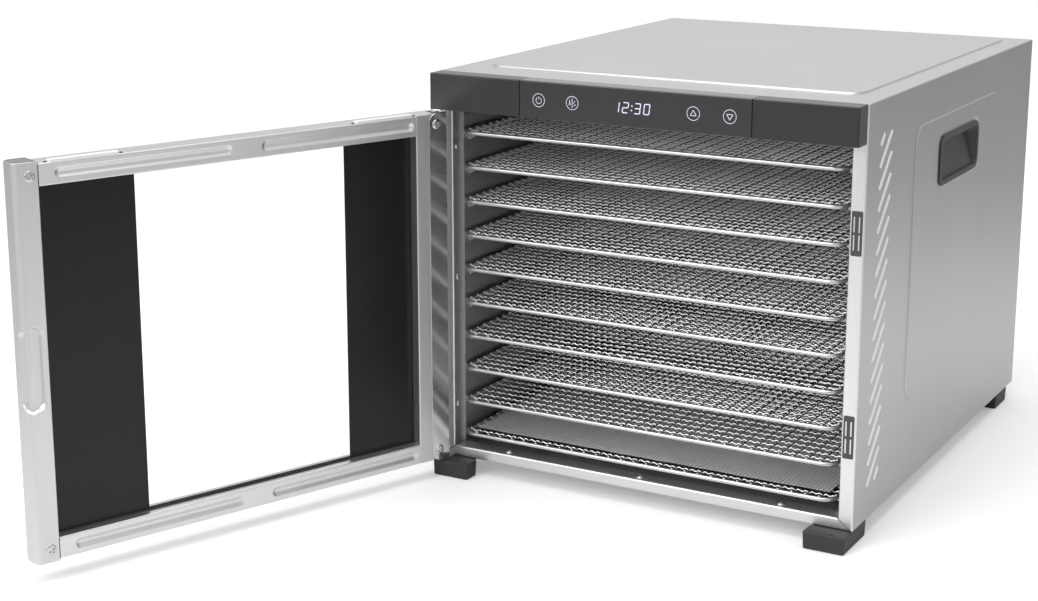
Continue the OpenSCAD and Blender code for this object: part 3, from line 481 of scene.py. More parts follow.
def tube(bm, path, radius, sides=12, closed=False, material=0):
    rings = []
    count = len(path)
    for i, p in enumerate(path):
        before = path[i - 1] if i or closed else p
        after = path[(i + 1) % count] if i < count - 1 or closed else p
        along = (after - before).normalized()
        up = Vector((0, 0, 1)) if abs(along.z) < 0.9 else Vector((0, 1, 0))
        side = along.cross(up).normalized()
        up = side.cross(along)
        turns = [2 * math.pi * k / sides for k in range(sides)]
        rings.append([bm.verts.new(p + radius * (math.cos(t) * side + math.sin(t) * up)) for t in turns])
    if closed:
        rings.append(rings[0])
    join(bm, rings, not closed, not closed, material=material)


# pieces

def clean(bm, merge=1e-6, recalc=True):
    bmesh.ops.remove_doubles(bm, verts=bm.verts, dist=merge)
    if recalc:
        bmesh.ops.recalc_face_normals(bm, faces=bm.faces)


def objectFrom(bm, name, materials, recalc=True, turn=None, smooth=35):
    clean(bm, recalc=recalc)
    if turn:
        bmesh.ops.transform(bm, matrix=turn, verts=bm.verts)
    mesh = bpy.data.meshes.new(name)
    bm.to_mesh(mesh)
    bm.free()
    return objectWith(mesh, name, materials, smooth)


def objectWith(mesh, name, materials, smooth=35):
    for m in materials:
        mesh.materials.append(m)
    mesh.shade_smooth()
    mesh.set_sharp_from_angle(angle=math.radians(smooth))
    made = bpy.data.objects.new(name, mesh)
    bpy.context.collection.objects.link(made)
    return made


def solidify(piece, thickness):
    made = piece.modifiers.new("thickness", "SOLIDIFY")
    made.thickness = thickness
    made.offset = -1
    return made


# ends a piece: flat faces stay flat beside small bends, then its nodes and its body
def settle(piece, body, *nodes):
    if len(piece.data.polygons) < 30000:
        piece.modifiers.new("flatFaces", "WEIGHTED_NORMAL").keep_sharp = True
    if nodes:
        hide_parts(*nodes)
    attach(piece, body)
    return piece


# mirror of a mesh in the cabinet's middle plane
def mirrored(piece, name):
    bm = bmesh.new()
    bm.from_mesh(piece.data)
    flip = Matrix.Translation((cab["w"], 0, 0)) @ Matrix.Diagonal((-1, 1, 1, 1))
    bmesh.ops.transform(bm, matrix=flip, verts=bm.verts)
    bmesh.ops.reverse_faces(bm, faces=bm.faces)
    made = objectFrom(bm, name, list(piece.data.materials), recalc=False)
    for m in piece.modifiers:
        if m.type == "SOLIDIFY":
            solidify(made, m.thickness)
    return made


# geometry nodes

def nodeGroup(name, inputs):
    tree = bpy.data.node_groups.new(name, "GeometryNodeTree")
    tree.interface.new_socket("Geometry", in_out="INPUT", socket_type="NodeSocketGeometry")
    for label, kind in inputs:
        tree.interface.new_socket(label, in_out="INPUT", socket_type=kind)
    tree.interface.new_socket("Geometry", in_out="OUTPUT", socket_type="NodeSocketGeometry")
    return Graph(tree)


def finished(g, term):
    end = g.tree.nodes.new("NodeGroupOutput")
    g.tree.links.new(term.socket, end.inputs[0])
    return g.tree


# runs a node group on a mesh and returns the plain mesh that it makes
def grown(mesh, group, values):
    holder = bpy.data.objects.new("holder", mesh)
    bpy.context.collection.objects.link(holder)
    modifier = holder.modifiers.new("nodes", "NODES")
    modifier.node_group = group
    for item in group.interface.items_tree:
        if item.in_out == "INPUT" and item.name in values:
            modifier[item.identifier] = values[item.name]
    holder.update_tag()
    depsgraph = bpy.context.evaluated_depsgraph_get()
    made = bpy.data.meshes.new_from_object(holder.evaluated_get(depsgraph), depsgraph=depsgraph)
    bpy.data.objects.remove(holder)
    return made


# copies a piece to every point; the point attributes turn and size place each copy
def scatterGroup():
    g = nodeGroup("scatter", [("Piece", "NodeSocketObject"), ("Material", "NodeSocketMaterial")])
    given = g.tree.nodes.new("NodeGroupInput")
    piece = g.node("GeometryNodeObjectInfo", [Term(g, given.outputs["Piece"])], output="Geometry")
    turn = g.node("GeometryNodeInputNamedAttribute", ["turn"], data_type="FLOAT_VECTOR")
    size = g.node("GeometryNodeInputNamedAttribute", ["size"], data_type="FLOAT_VECTOR")
    rotation = g.node("FunctionNodeEulerToRotation", [turn])
    spots = Term(g, given.outputs["Geometry"])
    placed = {"Points": spots, "Instance": piece, "Rotation": rotation, "Scale": size}
    copies = g.node("GeometryNodeInstanceOnPoints", placed)
    real = g.node("GeometryNodeRealizeInstances", [copies])
    painted = {"Geometry": real, "Material": Term(g, given.outputs["Material"])}
    return finished(g, g.node("GeometryNodeSetMaterial", painted))


scatter = scatterGroup()


# spots is a list of (point, euler turn, size)
def scattered(name, piece, material, spots, turn=None, smooth=35):
    mesh = bpy.data.meshes.new(name + "Spots")
    mesh.from_pydata([s[0] for s in spots], [], [])
    for key, at in (("turn", 1), ("size", 2)):
        attribute = mesh.attributes.new(key, "FLOAT_VECTOR", "POINT")
        attribute.data.foreach_set("vector", [c for s in spots for c in s[at]])
    made = grown(mesh, scatter, {"Piece": piece, "Material": material})
    made.materials.clear()
    if turn:
        made.transform(turn)
    return objectWith(made, name, [material], smooth)


# a piece to copy, which stays out of the scene itself
def pattern(bm, name):
    clean(bm)
    mesh = bpy.data.meshes.new(name)
    bm.to_mesh(mesh)
    bm.free()
    return bpy.data.objects.new(name, mesh)


# screws

screw = {"r": 3 * mm, "head": 1.1 * mm, "slot": 0.5 * mm, "reach": 2 * mm, "recess": 0.8 * mm,
         "taper": 0.1 * mm, "sides": 32, "flatHead": 0.9 * mm}  # flatHead: its height in the frame


# pan head with a cross recess, its underside at the origin and its axis along +Z
def screwHead():
    bm = bmesh.new()
    sides = screw["sides"]
    quarter = math.pi / 2
    dome = [(1.0, 0.0), (1.0, 0.35), (0.95, 0.62), (0.84, 0.82), (0.68, 0.94)]
    rings = []
    for share, rise in dome:
        rings.append([bm.verts.new((screw["r"] * share * math.cos(2 * math.pi * i / sides),
                                    screw["r"] * share * math.sin(2 * math.pi * i / sides),
                                    screw["head"] * rise)) for i in range(sides)])

    # outline of the cross, one point per side of the head
    def cross(grow, level):
        out = []
        for i in range(sides):
            a = 2 * math.pi * (i + 0.5) / sides
            local = (a + quarter / 2) % quarter - quarter / 2
            wide = (screw["slot"] + grow) / max(abs(math.sin(local)), 1e-3)
            reach = min(screw["reach"] + grow, wide)
            reach = max(reach, (screw["slot"] + grow) * 1.42)
            out.append(bm.verts.new((reach * math.cos(a), reach * math.sin(a), level)))
        return out

    rings.append(cross(0, screw["head"]))
    rings.append(cross(-screw["taper"], screw["head"] - screw["recess"]))
    join(bm, rings, True, True)
    return pattern(bm, "screwHead")


screwHeadPattern = screwHead()
unscaled = (1, 1, 1)


# points of each of a node's separate solids
def solids(node):
    bm = bmesh.new()
    bm.from_mesh(frame["nodes"][node].data)
    bmesh.ops.remove_doubles(bm, verts=bm.verts, dist=1e-6)
    seen = set()
    found = []
    for start in bm.verts:
        if start in seen:
            continue
        island, queue = [], [start]
        seen.add(start)
        while queue:
            v = queue.pop()
            island.append(v.co.copy())
            for e in v.link_edges:
                other = e.other_vert(v)
                if other not in seen:
                    seen.add(other)
                    queue.append(other)
        found.append(island)
    bm.free()
    return found


print("tools ready")


# cabinet sheets

press = {"width": 1.1 * mm, "edge": 0.8 * mm, "corner": 14 * mm}
moat = {"out": 3 * mm, "width": 1.6 * mm, "deep": 0.6 * mm, "corner": 12 * mm}  # hollow round the cup


def topSheet():
    bm = bmesh.new()
    top = cab["top"]
    rise = topBox[1].z - top
    outer = rounded(top - cab["sheet"], top, press["edge"])
    rings = stack(bm, (0, 0), (cab["w"], cab["d"]), 1 * mm, outer, onTop, last=False)
    lo, hi = topField[0].xy, topField[1].xy
    base = inset(lo, hi, -press["width"])
    steps = shoulder(0, press["width"], top, top + rise)
    field = stack(bm, *base, press["corner"], steps, onTop, first=False)
    join(bm, [rings[-1], field[0]])
    return settle(objectFrom(bm, "topSheet", [steelTop]), "cabinet", "top_cover")


# the right side with its front post, folded inwards
def sideSheet():
    bm = bmesh.new()
    face = cab["w"]
    bend = cab["bend"]
    high = cab["top"] - cab["sheet"]
    outer = ring(bm, roundRect((bend, cab["low"]), (cab["d"], high), sharp), face, onRight)
    lo, hi = sideField[0].yz, sideField[1].yz
    base = inset(lo, hi, -press["width"])
    rise = sideBox[1].x - face
    steps = shoulder(0, press["width"], face, face + rise)
    field = stack(bm, *base, press["corner"], steps, onRight, first=False, last=False)
    rim = (cupBox[0].yz, cupBox[1].yz)
    floor = face + rise - moat["deep"]
    sides = shoulder(0, moat["width"], face + rise, floor)
    hollow = stack(bm, *inset(*rim, -moat["out"]), moat["corner"], sides, onRight, first=False, last=False)
    hole = ring(bm, roundRect(*inset(*rim, 2 * mm), 8 * mm), floor, onRight)
    join(bm, [outer, field[0]])
    join(bm, [field[-1], hollow[0]])
    join(bm, [hollow[-1], hole])

    post = cab["post"]
    section = filleted([(face, bend), (face, 0, bend), (face - post, 0, bend), (face - post, cab["lip"])])
    mitre = cab["sill"] / post
    lows = [cab["low"] + min(face - p.x, post) * mitre for p in section]
    columns = [[bm.verts.new((p.x, p.y, z)) for z in (low, high)] for p, low in zip(section, lows)]
    for a, b in zip(columns, columns[1:]):
        bm.faces.new((b[0], a[0], a[1], b[1])).material_index = 1 if b[0].co.y < cab["lip"] else 2
    # the side, the post and the return into the chamber are one sheet; its three tones are painted light
    # and shade
    made = objectFrom(bm, "sideSheetRight", [steelSide, steelPost, steelChamber], recalc=False)
    solidify(made, cab["wall"])
    return made


right = sideSheet()
left = mirrored(right, "sideSheetLeft")
settle(right, "cabinet", "side_panel_right")
settle(left, "cabinet", "side_panel_left")
topSheet()

sill = {"gap": 1.3 * mm}


def sillSheet():
    bm = bmesh.new()
    low, high = cab["low"], cab["low"] + cab["sill"]
    bend = cab["bend"]
    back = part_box("bottom_panel")[1].y
    section = filleted([(back, low), (0, low, bend), (0, high, bend), (cab["lip"], high)])
    slope = cab["post"] / cab["sill"]
    rows = []
    for p in section:
        edge = sill["gap"] + (p.y - low) * slope
        rows.append([bm.verts.new((x, p.x, p.y)) for x in (edge, cab["w"] - edge)])
    for a, b in zip(rows, rows[1:]):
        bm.faces.new((a[0], a[1], b[1], b[0]))
    made = objectFrom(bm, "sillSheet", [steelAcross], recalc=False)
    solidify(made, cab["wall"])
    return settle(made, "cabinet", "bottom_panel")


sillSheet()


# sloping vent slots, each with a tongue bent out of it, made near white as a painted highlight
vents = {"front": 27 * mm, "field": 24 * mm, "low": 26 * mm, "pitch": 15.7 * mm, "count": 17,
         "wide": 3.6 * mm, "least": 3 * mm, "proud": 0.8 * mm}


# middle and length of every slot; the field cuts the first and the last
def ventSpots():
    spots = []
    low = cab["low"] + vents["low"]
    high = low + (vents["count"] - 0.5) * vents["pitch"]
    for i in range(-1, vents["count"]):
        start = low + i * vents["pitch"]
        first = max(0, low - start)
        last = min(vents["field"], high - start)
        if last - first > vents["least"]:
            middle = (first + last) / 2
            spots.append((vents["front"] + middle, start + middle, (last - first) * math.sqrt(2)))
    return spots


# one bar per slot, so that its round ends keep their shape
def ventBars(name, face, side):
    bm = bmesh.new()
    half = vents["wide"] / 2
    share = math.sqrt(0.5)
    lean = Matrix(((0, 0, side), (share, -share, 0), (share, share, 0)))
    proud = vents["proud"]
    steps = [(0, -0.6 * mm), (0, 0.15 * mm), (0.3 * half, 0.75 * proud), (0.7 * half, proud)]
    for y, z, length in ventSpots():
        begin = len(bm.verts)
        stack(bm, (-length / 2, -half), (length / 2, half), half, steps, onTop, corner=4)
        bm.verts.ensure_lookup_table()
        for v in bm.verts[begin:]:
            v.co = Vector((face, y, z)) + lean @ v.co
    return settle(objectFrom(bm, name, [ventBright]), "cabinet")


ventBars("ventTonguesRight", cab["w"], 1)
ventBars("ventTonguesLeft", 0, -1)
print("cabinet sheets made")


# fascia

fascia = {"front": 16 * mm, "corner": 0.5 * mm, "edge": 0.9 * mm, "seam": 0.15 * mm, "print": 0.02 * mm}
fascia["low"] = fasciaBox[0].z
fascia["high"] = fasciaBox[1].z
fascia["mid"] = (fascia["low"] + fascia["high"]) / 2


def fasciaBlock(name, x0, x1, material, node):
    bm = bmesh.new()
    lo, hi = (x0, fascia["low"]), (x1, fascia["high"])
    stack(bm, lo, hi, fascia["corner"], rounded(0, fascia["front"], fascia["edge"]), onFront)
    return settle(objectFrom(bm, name, [material]), "cabinet", node)


panelLo, panelHi = panelBox[0].x, panelBox[1].x
fasciaBlock("fasciaLeft", fasciaBox[0].x, panelLo - fascia["seam"], fasciaEnd, "fascia")
fasciaBlock("fasciaRight", panelHi + fascia["seam"], fasciaBox[1].x, fasciaEnd, "fascia")
fasciaBlock("fasciaPanel", panelLo, panelHi, fasciaGloss, "display_panel")

icons = {"r": 4.9 * mm, "line": 0.42 * mm, "outer": 76.5 * mm, "inner": 48.5 * mm, "thick": 0.05 * mm}


# flat printed shapes lie a hair in front of the panel
def flat(bm, outline):
    level = fascia["front"] + fascia["print"]
    bm.faces.new([bm.verts.new(onFront(u, v, level)) for u, v in outline])


# band along an arc in degrees
def arcBand(bm, x, z, r, line, start, end, steps=40):
    level = fascia["front"] + fascia["print"]
    rows = []
    for i in range(steps + 1):
        a = math.radians(start + (end - start) * i / steps)
        rows.append([bm.verts.new(onFront(x + q * math.cos(a), z + q * math.sin(a), level))
                     for q in (r + line / 2, r - line / 2)])
    for a, b in zip(rows, rows[1:]):
        bm.faces.new((a[0], b[0], b[1], a[1]))


def bar(bm, x0, z0, x1, z1, line):
    along = Vector((x1 - x0, z1 - z0)).normalized() * line / 2
    side = Vector((-along.y, along.x))
    a, b = Vector((x0, z0)), Vector((x1, z1))
    flat(bm, [a - along * 0.2, a + along - side, b - along - side,
              b + along * 0.2, b - along + side, a + along + side])


# seven bars of a digit, named by letter: column and row of both ends
segments = {"a": (0, 2, 1, 2), "b": (1, 1, 1, 2), "c": (1, 0, 1, 1), "d": (0, 0, 1, 0), "e": (0, 0, 0, 1),
            "f": (0, 1, 0, 2), "g": (0, 1, 1, 1)}
digits = {"0": "abcdef", "1": "bc", "2": "abged", "3": "abgcd"}
clock = {"text": "12:30", "wide": 4.3 * mm, "high": 7.4 * mm, "step": 7.4 * mm, "line": 0.8 * mm,
         "lean": 0.12, "left": 2.5 * mm, "dot": 0.6 * mm, "dots": (0.28, 0.72), "colon": 0.3,
         "back": 0.32, "start": 1.4}


def clockDigits(bm):
    z0 = fascia["mid"] - clock["high"] / 2
    x = midX - clock["start"] * clock["step"] - clock["left"]

    def spot(px, pz):
        return px + (pz - z0) * clock["lean"], pz

    for sign in clock["text"]:
        if sign == ":":
            for share in clock["dots"]:
                cx, cz = spot(x - clock["back"] * clock["step"], z0 + share * clock["high"])
                r = clock["dot"]
                turns = [t * math.pi / 8 for t in range(16)]
                flat(bm, [(cx + r * math.cos(t), cz + r * math.sin(t)) for t in turns])
            x += clock["colon"] * clock["step"]
            continue
        for key in digits[sign]:
            u0, v0, u1, v1 = segments[key]
            a = spot(x + u0 * clock["wide"] - clock["wide"] / 2, z0 + v0 * clock["high"] / 2)
            b = spot(x + u1 * clock["wide"] - clock["wide"] / 2, z0 + v1 * clock["high"] / 2)
            bar(bm, *a, *b, clock["line"])
        x += clock["step"]


# an open outline drawn with bars
def strokes(bm, x, z, r, corners, line):
    for a, b in zip(corners, corners[1:]):
        bar(bm, x + a[0] * r, z + a[1] * r, x + b[0] * r, z + b[1] * r, line)


def iconShapes():
    bm = bmesh.new()
    z = fascia["mid"]
    r, line = icons["r"], icons["line"]
    for x in (midX - icons["outer"], midX - icons["inner"], midX + icons["inner"], midX + icons["outer"]):
        arcBand(bm, x, z, r, line, 0, 360)
    x = midX - icons["outer"]
    arcBand(bm, x, z - 0.2 * mm, 0.46 * r, line, 120, 420)
    bar(bm, x, z + 0.1 * r, x, z + 0.6 * r, line)
    x = midX - icons["inner"]
    strokes(bm, x, z, r, [(0, 0.75), (0, -0.75)], line)
    strokes(bm, x, z, r, [(-0.6, -0.35), (-0.4, 0.05), (-0.2, -0.35)], line)
    strokes(bm, x, z, r, [(-0.4, 0.05), (-0.4, 0.5)], 1.3 * line)
    strokes(bm, x, z, r, [(0.2, -0.1), (0.45, 0.35)], line)
    strokes(bm, x, z, r, [(0.25, -0.45), (0.6, -0.15)], line)
    for side, up in ((icons["inner"], 1), (icons["outer"], -1)):
        corners = [(-0.48, -0.3 * up), (0.48, -0.3 * up), (0, 0.5 * up), (-0.48, -0.3 * up)]
        strokes(bm, midX + side, z, r, corners, 1.1 * line)
    clockDigits(bm)
    made = objectFrom(bm, "fasciaIcons", [iconWhite], recalc=False)
    solidify(made, icons["thick"])
    return settle(made, "cabinet")


iconShapes()
print("fascia made")


# carrying cups

cup = {"corner": 9 * mm, "wall": 4 * mm, "proud": 1.2 * mm, "edge": 0.7 * mm, "lip": 6.5 * mm,
       "mouth": 6 * mm, "floor": 4 * mm, "deep": 8.6 * mm, "shallow": 0.3, "slope": 6 * mm}


# the pocket is deepest under its upper edge, where the fingers go
def cupShape():
    bm = bmesh.new()
    lo, hi = cupBox[0].yz, cupBox[1].yz
    face = cupBox[1].x
    edge = rounded(face - cup["proud"] - 1 * mm, face, cup["edge"])
    outside = stack(bm, lo, hi, cup["corner"], edge, onRight, last=False, first=False)
    lip = ring(bm, roundRect(*inset(lo, hi, cup["wall"] - 0.5 * mm), cup["lip"]), face, onRight)
    steps = [(0, face - 0.2 * mm), (0.3 * mm, face - 0.7 * mm)]
    inner = inset(lo, hi, cup["wall"])
    mouth = stack(bm, *inner, cup["mouth"], steps, onRight, first=False, last=False)
    a, b = inset(lo, hi, cup["wall"] + 1 * mm)
    floor = []
    for u, v in roundRect(a, b, cup["floor"]):
        up = (v - a[1]) / (b[1] - a[1])
        back = cup["slope"] * up if u > (a[0] + b[0]) / 2 else 0
        depth = cup["deep"] * (cup["shallow"] + (1 - cup["shallow"]) * up)
        floor.append(bm.verts.new(onRight(u - back, v, face - depth)))
    join(bm, [outside[-1], lip, mouth[0]])
    join(bm, [mouth[-1], floor], last=True)
    return objectFrom(bm, "carryingCupRight", [cupBlack], recalc=False)


cupRight = cupShape()
cupLeft = mirrored(cupRight, "carryingCupLeft")
settle(cupRight, "cabinet", "handle_cup_right")
settle(cupLeft, "cabinet", "handle_cup_left")


# catches in the right post

catch = {"wide": 8 * mm, "high": 32 * mm, "proud": 0.6 * mm, "corner": 1.2 * mm, "edge": 0.35 * mm,
         "bar": 1.15 * mm, "barHigh": 11 * mm, "barProud": 0.15 * mm, "apart": 1.9 * mm}


def catches():
    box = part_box("catch_housings")
    x = (box[0].x + box[1].x) / 2
    middles = [box[0].z + catch["high"] / 2, box[1].z - catch["high"] / 2]
    plates = bmesh.new()
    bars = bmesh.new()
    for z in middles:
        lo = (x - catch["wide"] / 2, z - catch["high"] / 2)
        hi = (x + catch["wide"] / 2, z + catch["high"] / 2)
        stack(plates, lo, hi, catch["corner"], rounded(-0.5 * mm, catch["proud"], catch["edge"]), onFront)
        for sx in (-1, 1):
            for sz in (-1, 1):
                cx, cz = x + sx * catch["apart"], z + sz * (catch["barHigh"] / 2 + 1 * mm)
                a = (cx - catch["bar"] / 2, cz - catch["barHigh"] / 2)
                b = (cx + catch["bar"] / 2, cz + catch["barHigh"] / 2)
                face = catch["proud"] + catch["barProud"]
                stack(bars, a, b, 0.3 * mm, rounded(0, face, catch["barProud"], 2), onFront)
    settle(objectFrom(plates, "catchPlates", [catchBlack]), "cabinet", "catch_housings")
    settle(objectFrom(bars, "catchBars", [steelPolished]), "cabinet", "catch_pole_plates")


catches()


# feet

foot = {"edge": 0.5 * mm, "dot": 2 * mm, "dotIn": (20 * mm, 5 * mm)}


# outline of one foot seen from above, counter-clockwise
def footprint(island, low):
    under = [p.xy for p in island if p.z < low + near]
    return [under[i] for i in convex_hull_2d(under)]


def feet():
    for node, name in (("front_feet", "feetFront"), ("rear_feet", "feetRear")):
        lo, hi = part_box(node)
        edge = foot["edge"]
        steps = [(3 * edge, lo.z), (1.6 * edge, lo.z + 0.4 * edge), (edge, lo.z + 1.6 * edge),
                 (0, hi.z - 2 * edge), (0.2 * edge, hi.z - edge), (edge, hi.z)]
        bm = bmesh.new()
        for island in solids(node):
            outline = footprint(island, lo.z)
            rings = [ring(bm, shrunk(outline, by), level, onTop) for by, level in steps]
            join(bm, rings, True, True)
            if node == "front_feet":
                box = spread(island)
                dot = Vector((box[0].x, lo.y)) + Vector(foot["dotIn"])
                size = Vector((foot["dot"], foot["dot"])) / 2
                profile = rounded(hi.z - 0.4 * mm, hi.z + 0.5 * mm, 0.4 * mm)
                stack(bm, dot - size, dot + size, foot["dot"] / 2, profile, onTop)
        settle(objectFrom(bm, name, [footRubber]), "cabinet", node)


feet()
print("small cabinet pieces made")


# back

rear = {"ear": 10 * mm, "corner": 11 * mm, "edge": 2.2 * mm, "draft": 0.4 * mm, "flange": 1 * mm,
        "border": 9 * mm, "sunk": 0.8 * mm, "slots": 13, "pitch": 7 * mm, "long": 92 * mm, "wide": 3 * mm}


def rearCover():
    lo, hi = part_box("rear_cover")
    ear = rear["ear"]
    bm = bmesh.new()
    a, b = (-hi.x + ear, lo.z), (-lo.x - ear, hi.z)
    level = cab["d"]
    bend = hi.y - 2.5 * mm
    steps = [(0, level), (rear["draft"], bend)]
    steps += [(rear["draft"] + by, y) for by, y in rounded(bend, hi.y, rear["edge"])[1:]]
    steps += shoulder(rear["border"], 1.5 * mm, hi.y, hi.y - rear["sunk"])
    stack(bm, a, b, rear["corner"], steps, onBack)
    flange = rounded(level - 0.2 * mm, level + rear["flange"], 0.4 * mm)
    stack(bm, (-hi.x, lo.z + ear), (-lo.x, hi.z - ear), 4 * mm, flange, onBack)
    return settle(objectFrom(bm, "rearCover", [cupBlack]), "cabinet", "rear_cover")


# each slot is a thin black inlay on the solid cover, as painted shade where an opening would be
def rearSlots():
    lo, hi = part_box("rear_cover")
    count = rear["slots"]
    size = Vector((rear["wide"], rear["long"])) / 2
    bm = bmesh.new()
    steps = [(0, -0.9 * mm), (0, 0.02 * mm), (0.2 * mm, 0.05 * mm)]
    stack(bm, -size, size, size.x, steps, onTop)
    piece = pattern(bm, "rearSlot")
    z = (lo.z + hi.z) / 2
    turn = (math.radians(90), 0, math.pi)
    across = [midX + (i - count // 2) * rear["pitch"] for i in range(count)]
    spots = [((x, hi.y - rear["sunk"], z), turn, unscaled) for x in across]
    return settle(scattered("rearSlots", piece, darkSlot, spots), "cabinet")


mains = {"corner": 2.5 * mm, "edge": 0.6 * mm, "wall": 4.5 * mm,
         "round": 2 * mm, "cut": 6 * mm, "deep": 16 * mm}


def inlet():
    lo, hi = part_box("power_inlet")
    bm = bmesh.new()
    level = cab["d"]
    a, b = (-hi.x, lo.z), (-lo.x, hi.z)
    skin = rounded(level - 0.5 * mm, hi.y, mains["edge"])
    outside = stack(bm, a, b, mains["corner"], skin, onBack, last=False)
    mouth = inset(a, b, mains["wall"])
    radii = (mains["round"], mains["round"], mains["cut"], mains["cut"])
    steps = [(0, hi.y), (0.3 * mm, hi.y - 0.5 * mm), (0.6 * mm, level - mains["deep"])]
    cavity = stack(bm, *mouth, radii, steps, onBack, first=False)
    join(bm, [outside[-1], cavity[0]])
    return settle(objectFrom(bm, "powerInlet", [cupBlack], recalc=False), "cabinet", "power_inlet")


rearCover()
rearSlots()
inlet()


# the post screws face inwards, the sill screws up and the back screws out
def cabinetScrews():
    spots = []
    for island in solids("liner_screws"):
        lo, hi = spread(island)
        middle = (lo + hi) / 2
        size = hi - lo
        if size.z < size.x:  # it stands on the sill
            spots.append(((middle.x, middle.y, cab["low"] + cab["sill"]), (0, 0, 0.5), unscaled))
        elif middle.x < midX:
            spots.append(((cab["post"], middle.y, middle.z), (0, math.pi / 2, 0), unscaled))
        else:
            spots.append(((cab["w"] - cab["post"], middle.y, middle.z), (0, -math.pi / 2, 0), unscaled))
    back = []
    for island in solids("back_screws"):
        lo, hi = spread(island)
        middle = (lo + hi) / 2
        turn = (-math.pi / 2, 0, 0.6 + 9 * middle.z)
        back.append(((middle.x, hi.y - screw["flatHead"], middle.z), turn, unscaled))
    settle(scattered("linerScrews", screwHeadPattern, steelScrew, spots), "cabinet", "liner_screws")
    settle(scattered("backScrews", screwHeadPattern, steelScrew, back), "cabinet", "back_screws")


cabinetScrews()
print("back made")


# door, built closed and turned open

handle = closedBox("handle_stile")
hingeSide = closedBox("hinge_stile")
railTop = closedBox("top_rail")
railLow = closedBox("bottom_rail")
glassBox = closedBox("door_glass")
stripBox = closedBox("hinge_strip")
door = {"in": handle[1].y, "r": 6 * mm, "square": 1 * mm}
grip = {"turn": math.radians(30), "wide": 16 * mm, "long": 60.5 * mm, "deep": 3 * mm, "soft": 1.3 * mm,
        "down": 1.5 * mm}
gripZ = (railTop[1].z + railLow[0].z) / 2 - grip["down"]


# how deep the grip presses a point of the stile's skin
def gripDepth(x, y, z):
    c, s = math.cos(grip["turn"]), math.sin(grip["turn"])
    offset = Vector((x - handle[1].x + grip["wide"] / 2 * c, y - door["in"] + grip["wide"] / 2 * s))
    p = offset.dot(Vector((c, -s)))
    facing = offset.dot(Vector((s, c)))
    run = grip["long"] / 2 - grip["wide"] / 2
    q = max(abs(z - gripZ) - run, 0)
    into = grip["wide"] / 2 - math.hypot(p, q)
    return 0 if facing < -1 * mm else grip["deep"] * smoothShare(into / grip["soft"])


stile = {"wall": 0.97 * mm, "deep": 0.9 * mm, "cap": 1.5 * mm, "capDown": 0.02 * mm, "mesh": 0.8 * mm,
         "sunk": 1 * mm, "gap": 0.15 * mm, "land": 4 * mm, "plain": 12 * mm,
         "capRadii": (0.6 * mm, 4.8 * mm, 4.8 * mm, 0.6 * mm)}


def handleStile():
    bm = bmesh.new()
    lo, hi = handle[0].xy, handle[1].xy
    plan = roundRect(lo, hi, (door["square"], door["r"], door["r"], door["square"]), 14)
    dense = []
    for a, b in zip(plan, plan[1:] + plan[:1]):
        count = max(1, round(math.dist(a, b) / stile["mesh"]))
        shares = [k / count for k in range(count)]
        dense += [(a[0] + (b[0] - a[0]) * t, a[1] + (b[1] - a[1]) * t) for t in shares]
    count = len(dense)
    normals = []
    for i in range(count):
        along = Vector(dense[(i + 1) % count]) - Vector(dense[i - 1])
        normals.append(Vector((along.y, -along.x)).normalized())
    z0, z1 = handle[0].z, handle[1].z
    half = grip["long"] / 2 + 1 * mm
    rows = [z0 + 0.8 * mm, z0 + stile["plain"], gripZ - half - stile["plain"]]
    steps = int(2 * half / stile["mesh"])
    rows += [gripZ - half + 2 * half * k / steps for k in range(steps + 1)]
    rows += [gripZ + half + stile["plain"], z1 - stile["plain"], z1 - 0.8 * mm]

    def level(z, by):
        out = []
        for (x, y), n in zip(dense, normals):
            dent = gripDepth(x, y, z) + by
            out.append(bm.verts.new((x - n.x * dent, y - n.y * dent, z)))
        return out

    # each end, from the floor that the cap lies on round to the outer skin
    end = [(stile["deep"], stile["wall"]), (0, stile["wall"]), (0, 0.6 * mm), (0.25 * mm, 0.2 * mm)]
    rings = [level(z0 + up, by) for up, by in end]
    rings += [level(z, 0) for z in rows]
    rings += [level(z1 - down, by) for down, by in reversed(end)]
    join(bm, rings, True, True)
    return settle(objectFrom(bm, "handleStile", [steelDoorUpright], turn=toOpen), "door", "handle_stile")


# end cap let into the top and bottom of the handle stile
def stileCaps():
    bm = bmesh.new()
    lo, hi = inset(handle[0].xy, handle[1].xy, stile["cap"])
    profile = [(0, 0.6 * mm), (0.1 * mm, 0.1 * mm), (0.5 * mm, stile["capDown"])]
    for z, sign in ((handle[1].z, 1), (handle[0].z, -1)):
        steps = [(by, z - sign * down) for by, down in profile]
        stack(bm, lo, hi, stile["capRadii"], steps, onTop)
    return settle(objectFrom(bm, "stileCaps", [steelCap], turn=toOpen), "door")


# its inner face is let in beside the strip
def hingeStile():
    bm = bmesh.new()
    lo, hi = hingeSide
    edge = stripBox[1].x + stile["gap"]
    floor = hi.y - stile["sunk"]
    start = (edge + stile["land"], hi.y)
    corners = [start, (edge, hi.y, 0.15 * mm), (edge, floor, 0.15 * mm), (lo.x, floor, 0.4 * mm),
               (lo.x, lo.y, 1.2 * mm), (hi.x, lo.y, 1 * mm), (hi.x, hi.y, 0.8 * mm), start]
    plan = filleted(corners, 4)[:-1]
    rings = [[bm.verts.new((p.x, p.y, z)) for p in plan] for z in (lo.z, hi.z)]
    join(bm, rings, True, True)
    return settle(objectFrom(bm, "hingeStile", [steelDoorUpright], turn=toOpen), "door", "hinge_stile")


def hingeStrip():
    bm = bmesh.new()
    lo, hi = stripBox
    a, b = (-hi.x, lo.z), (-lo.x, hi.z)
    radii = (8 * mm, 0.8 * mm, 0.8 * mm, 8 * mm)
    stack(bm, a, b, radii, rounded(lo.y, hi.y, 0.35 * mm, 3), onDoor, corner=10)
    return settle(objectFrom(bm, "hingeStrip", [steelPolished], turn=toOpen), "door", "hinge_strip")


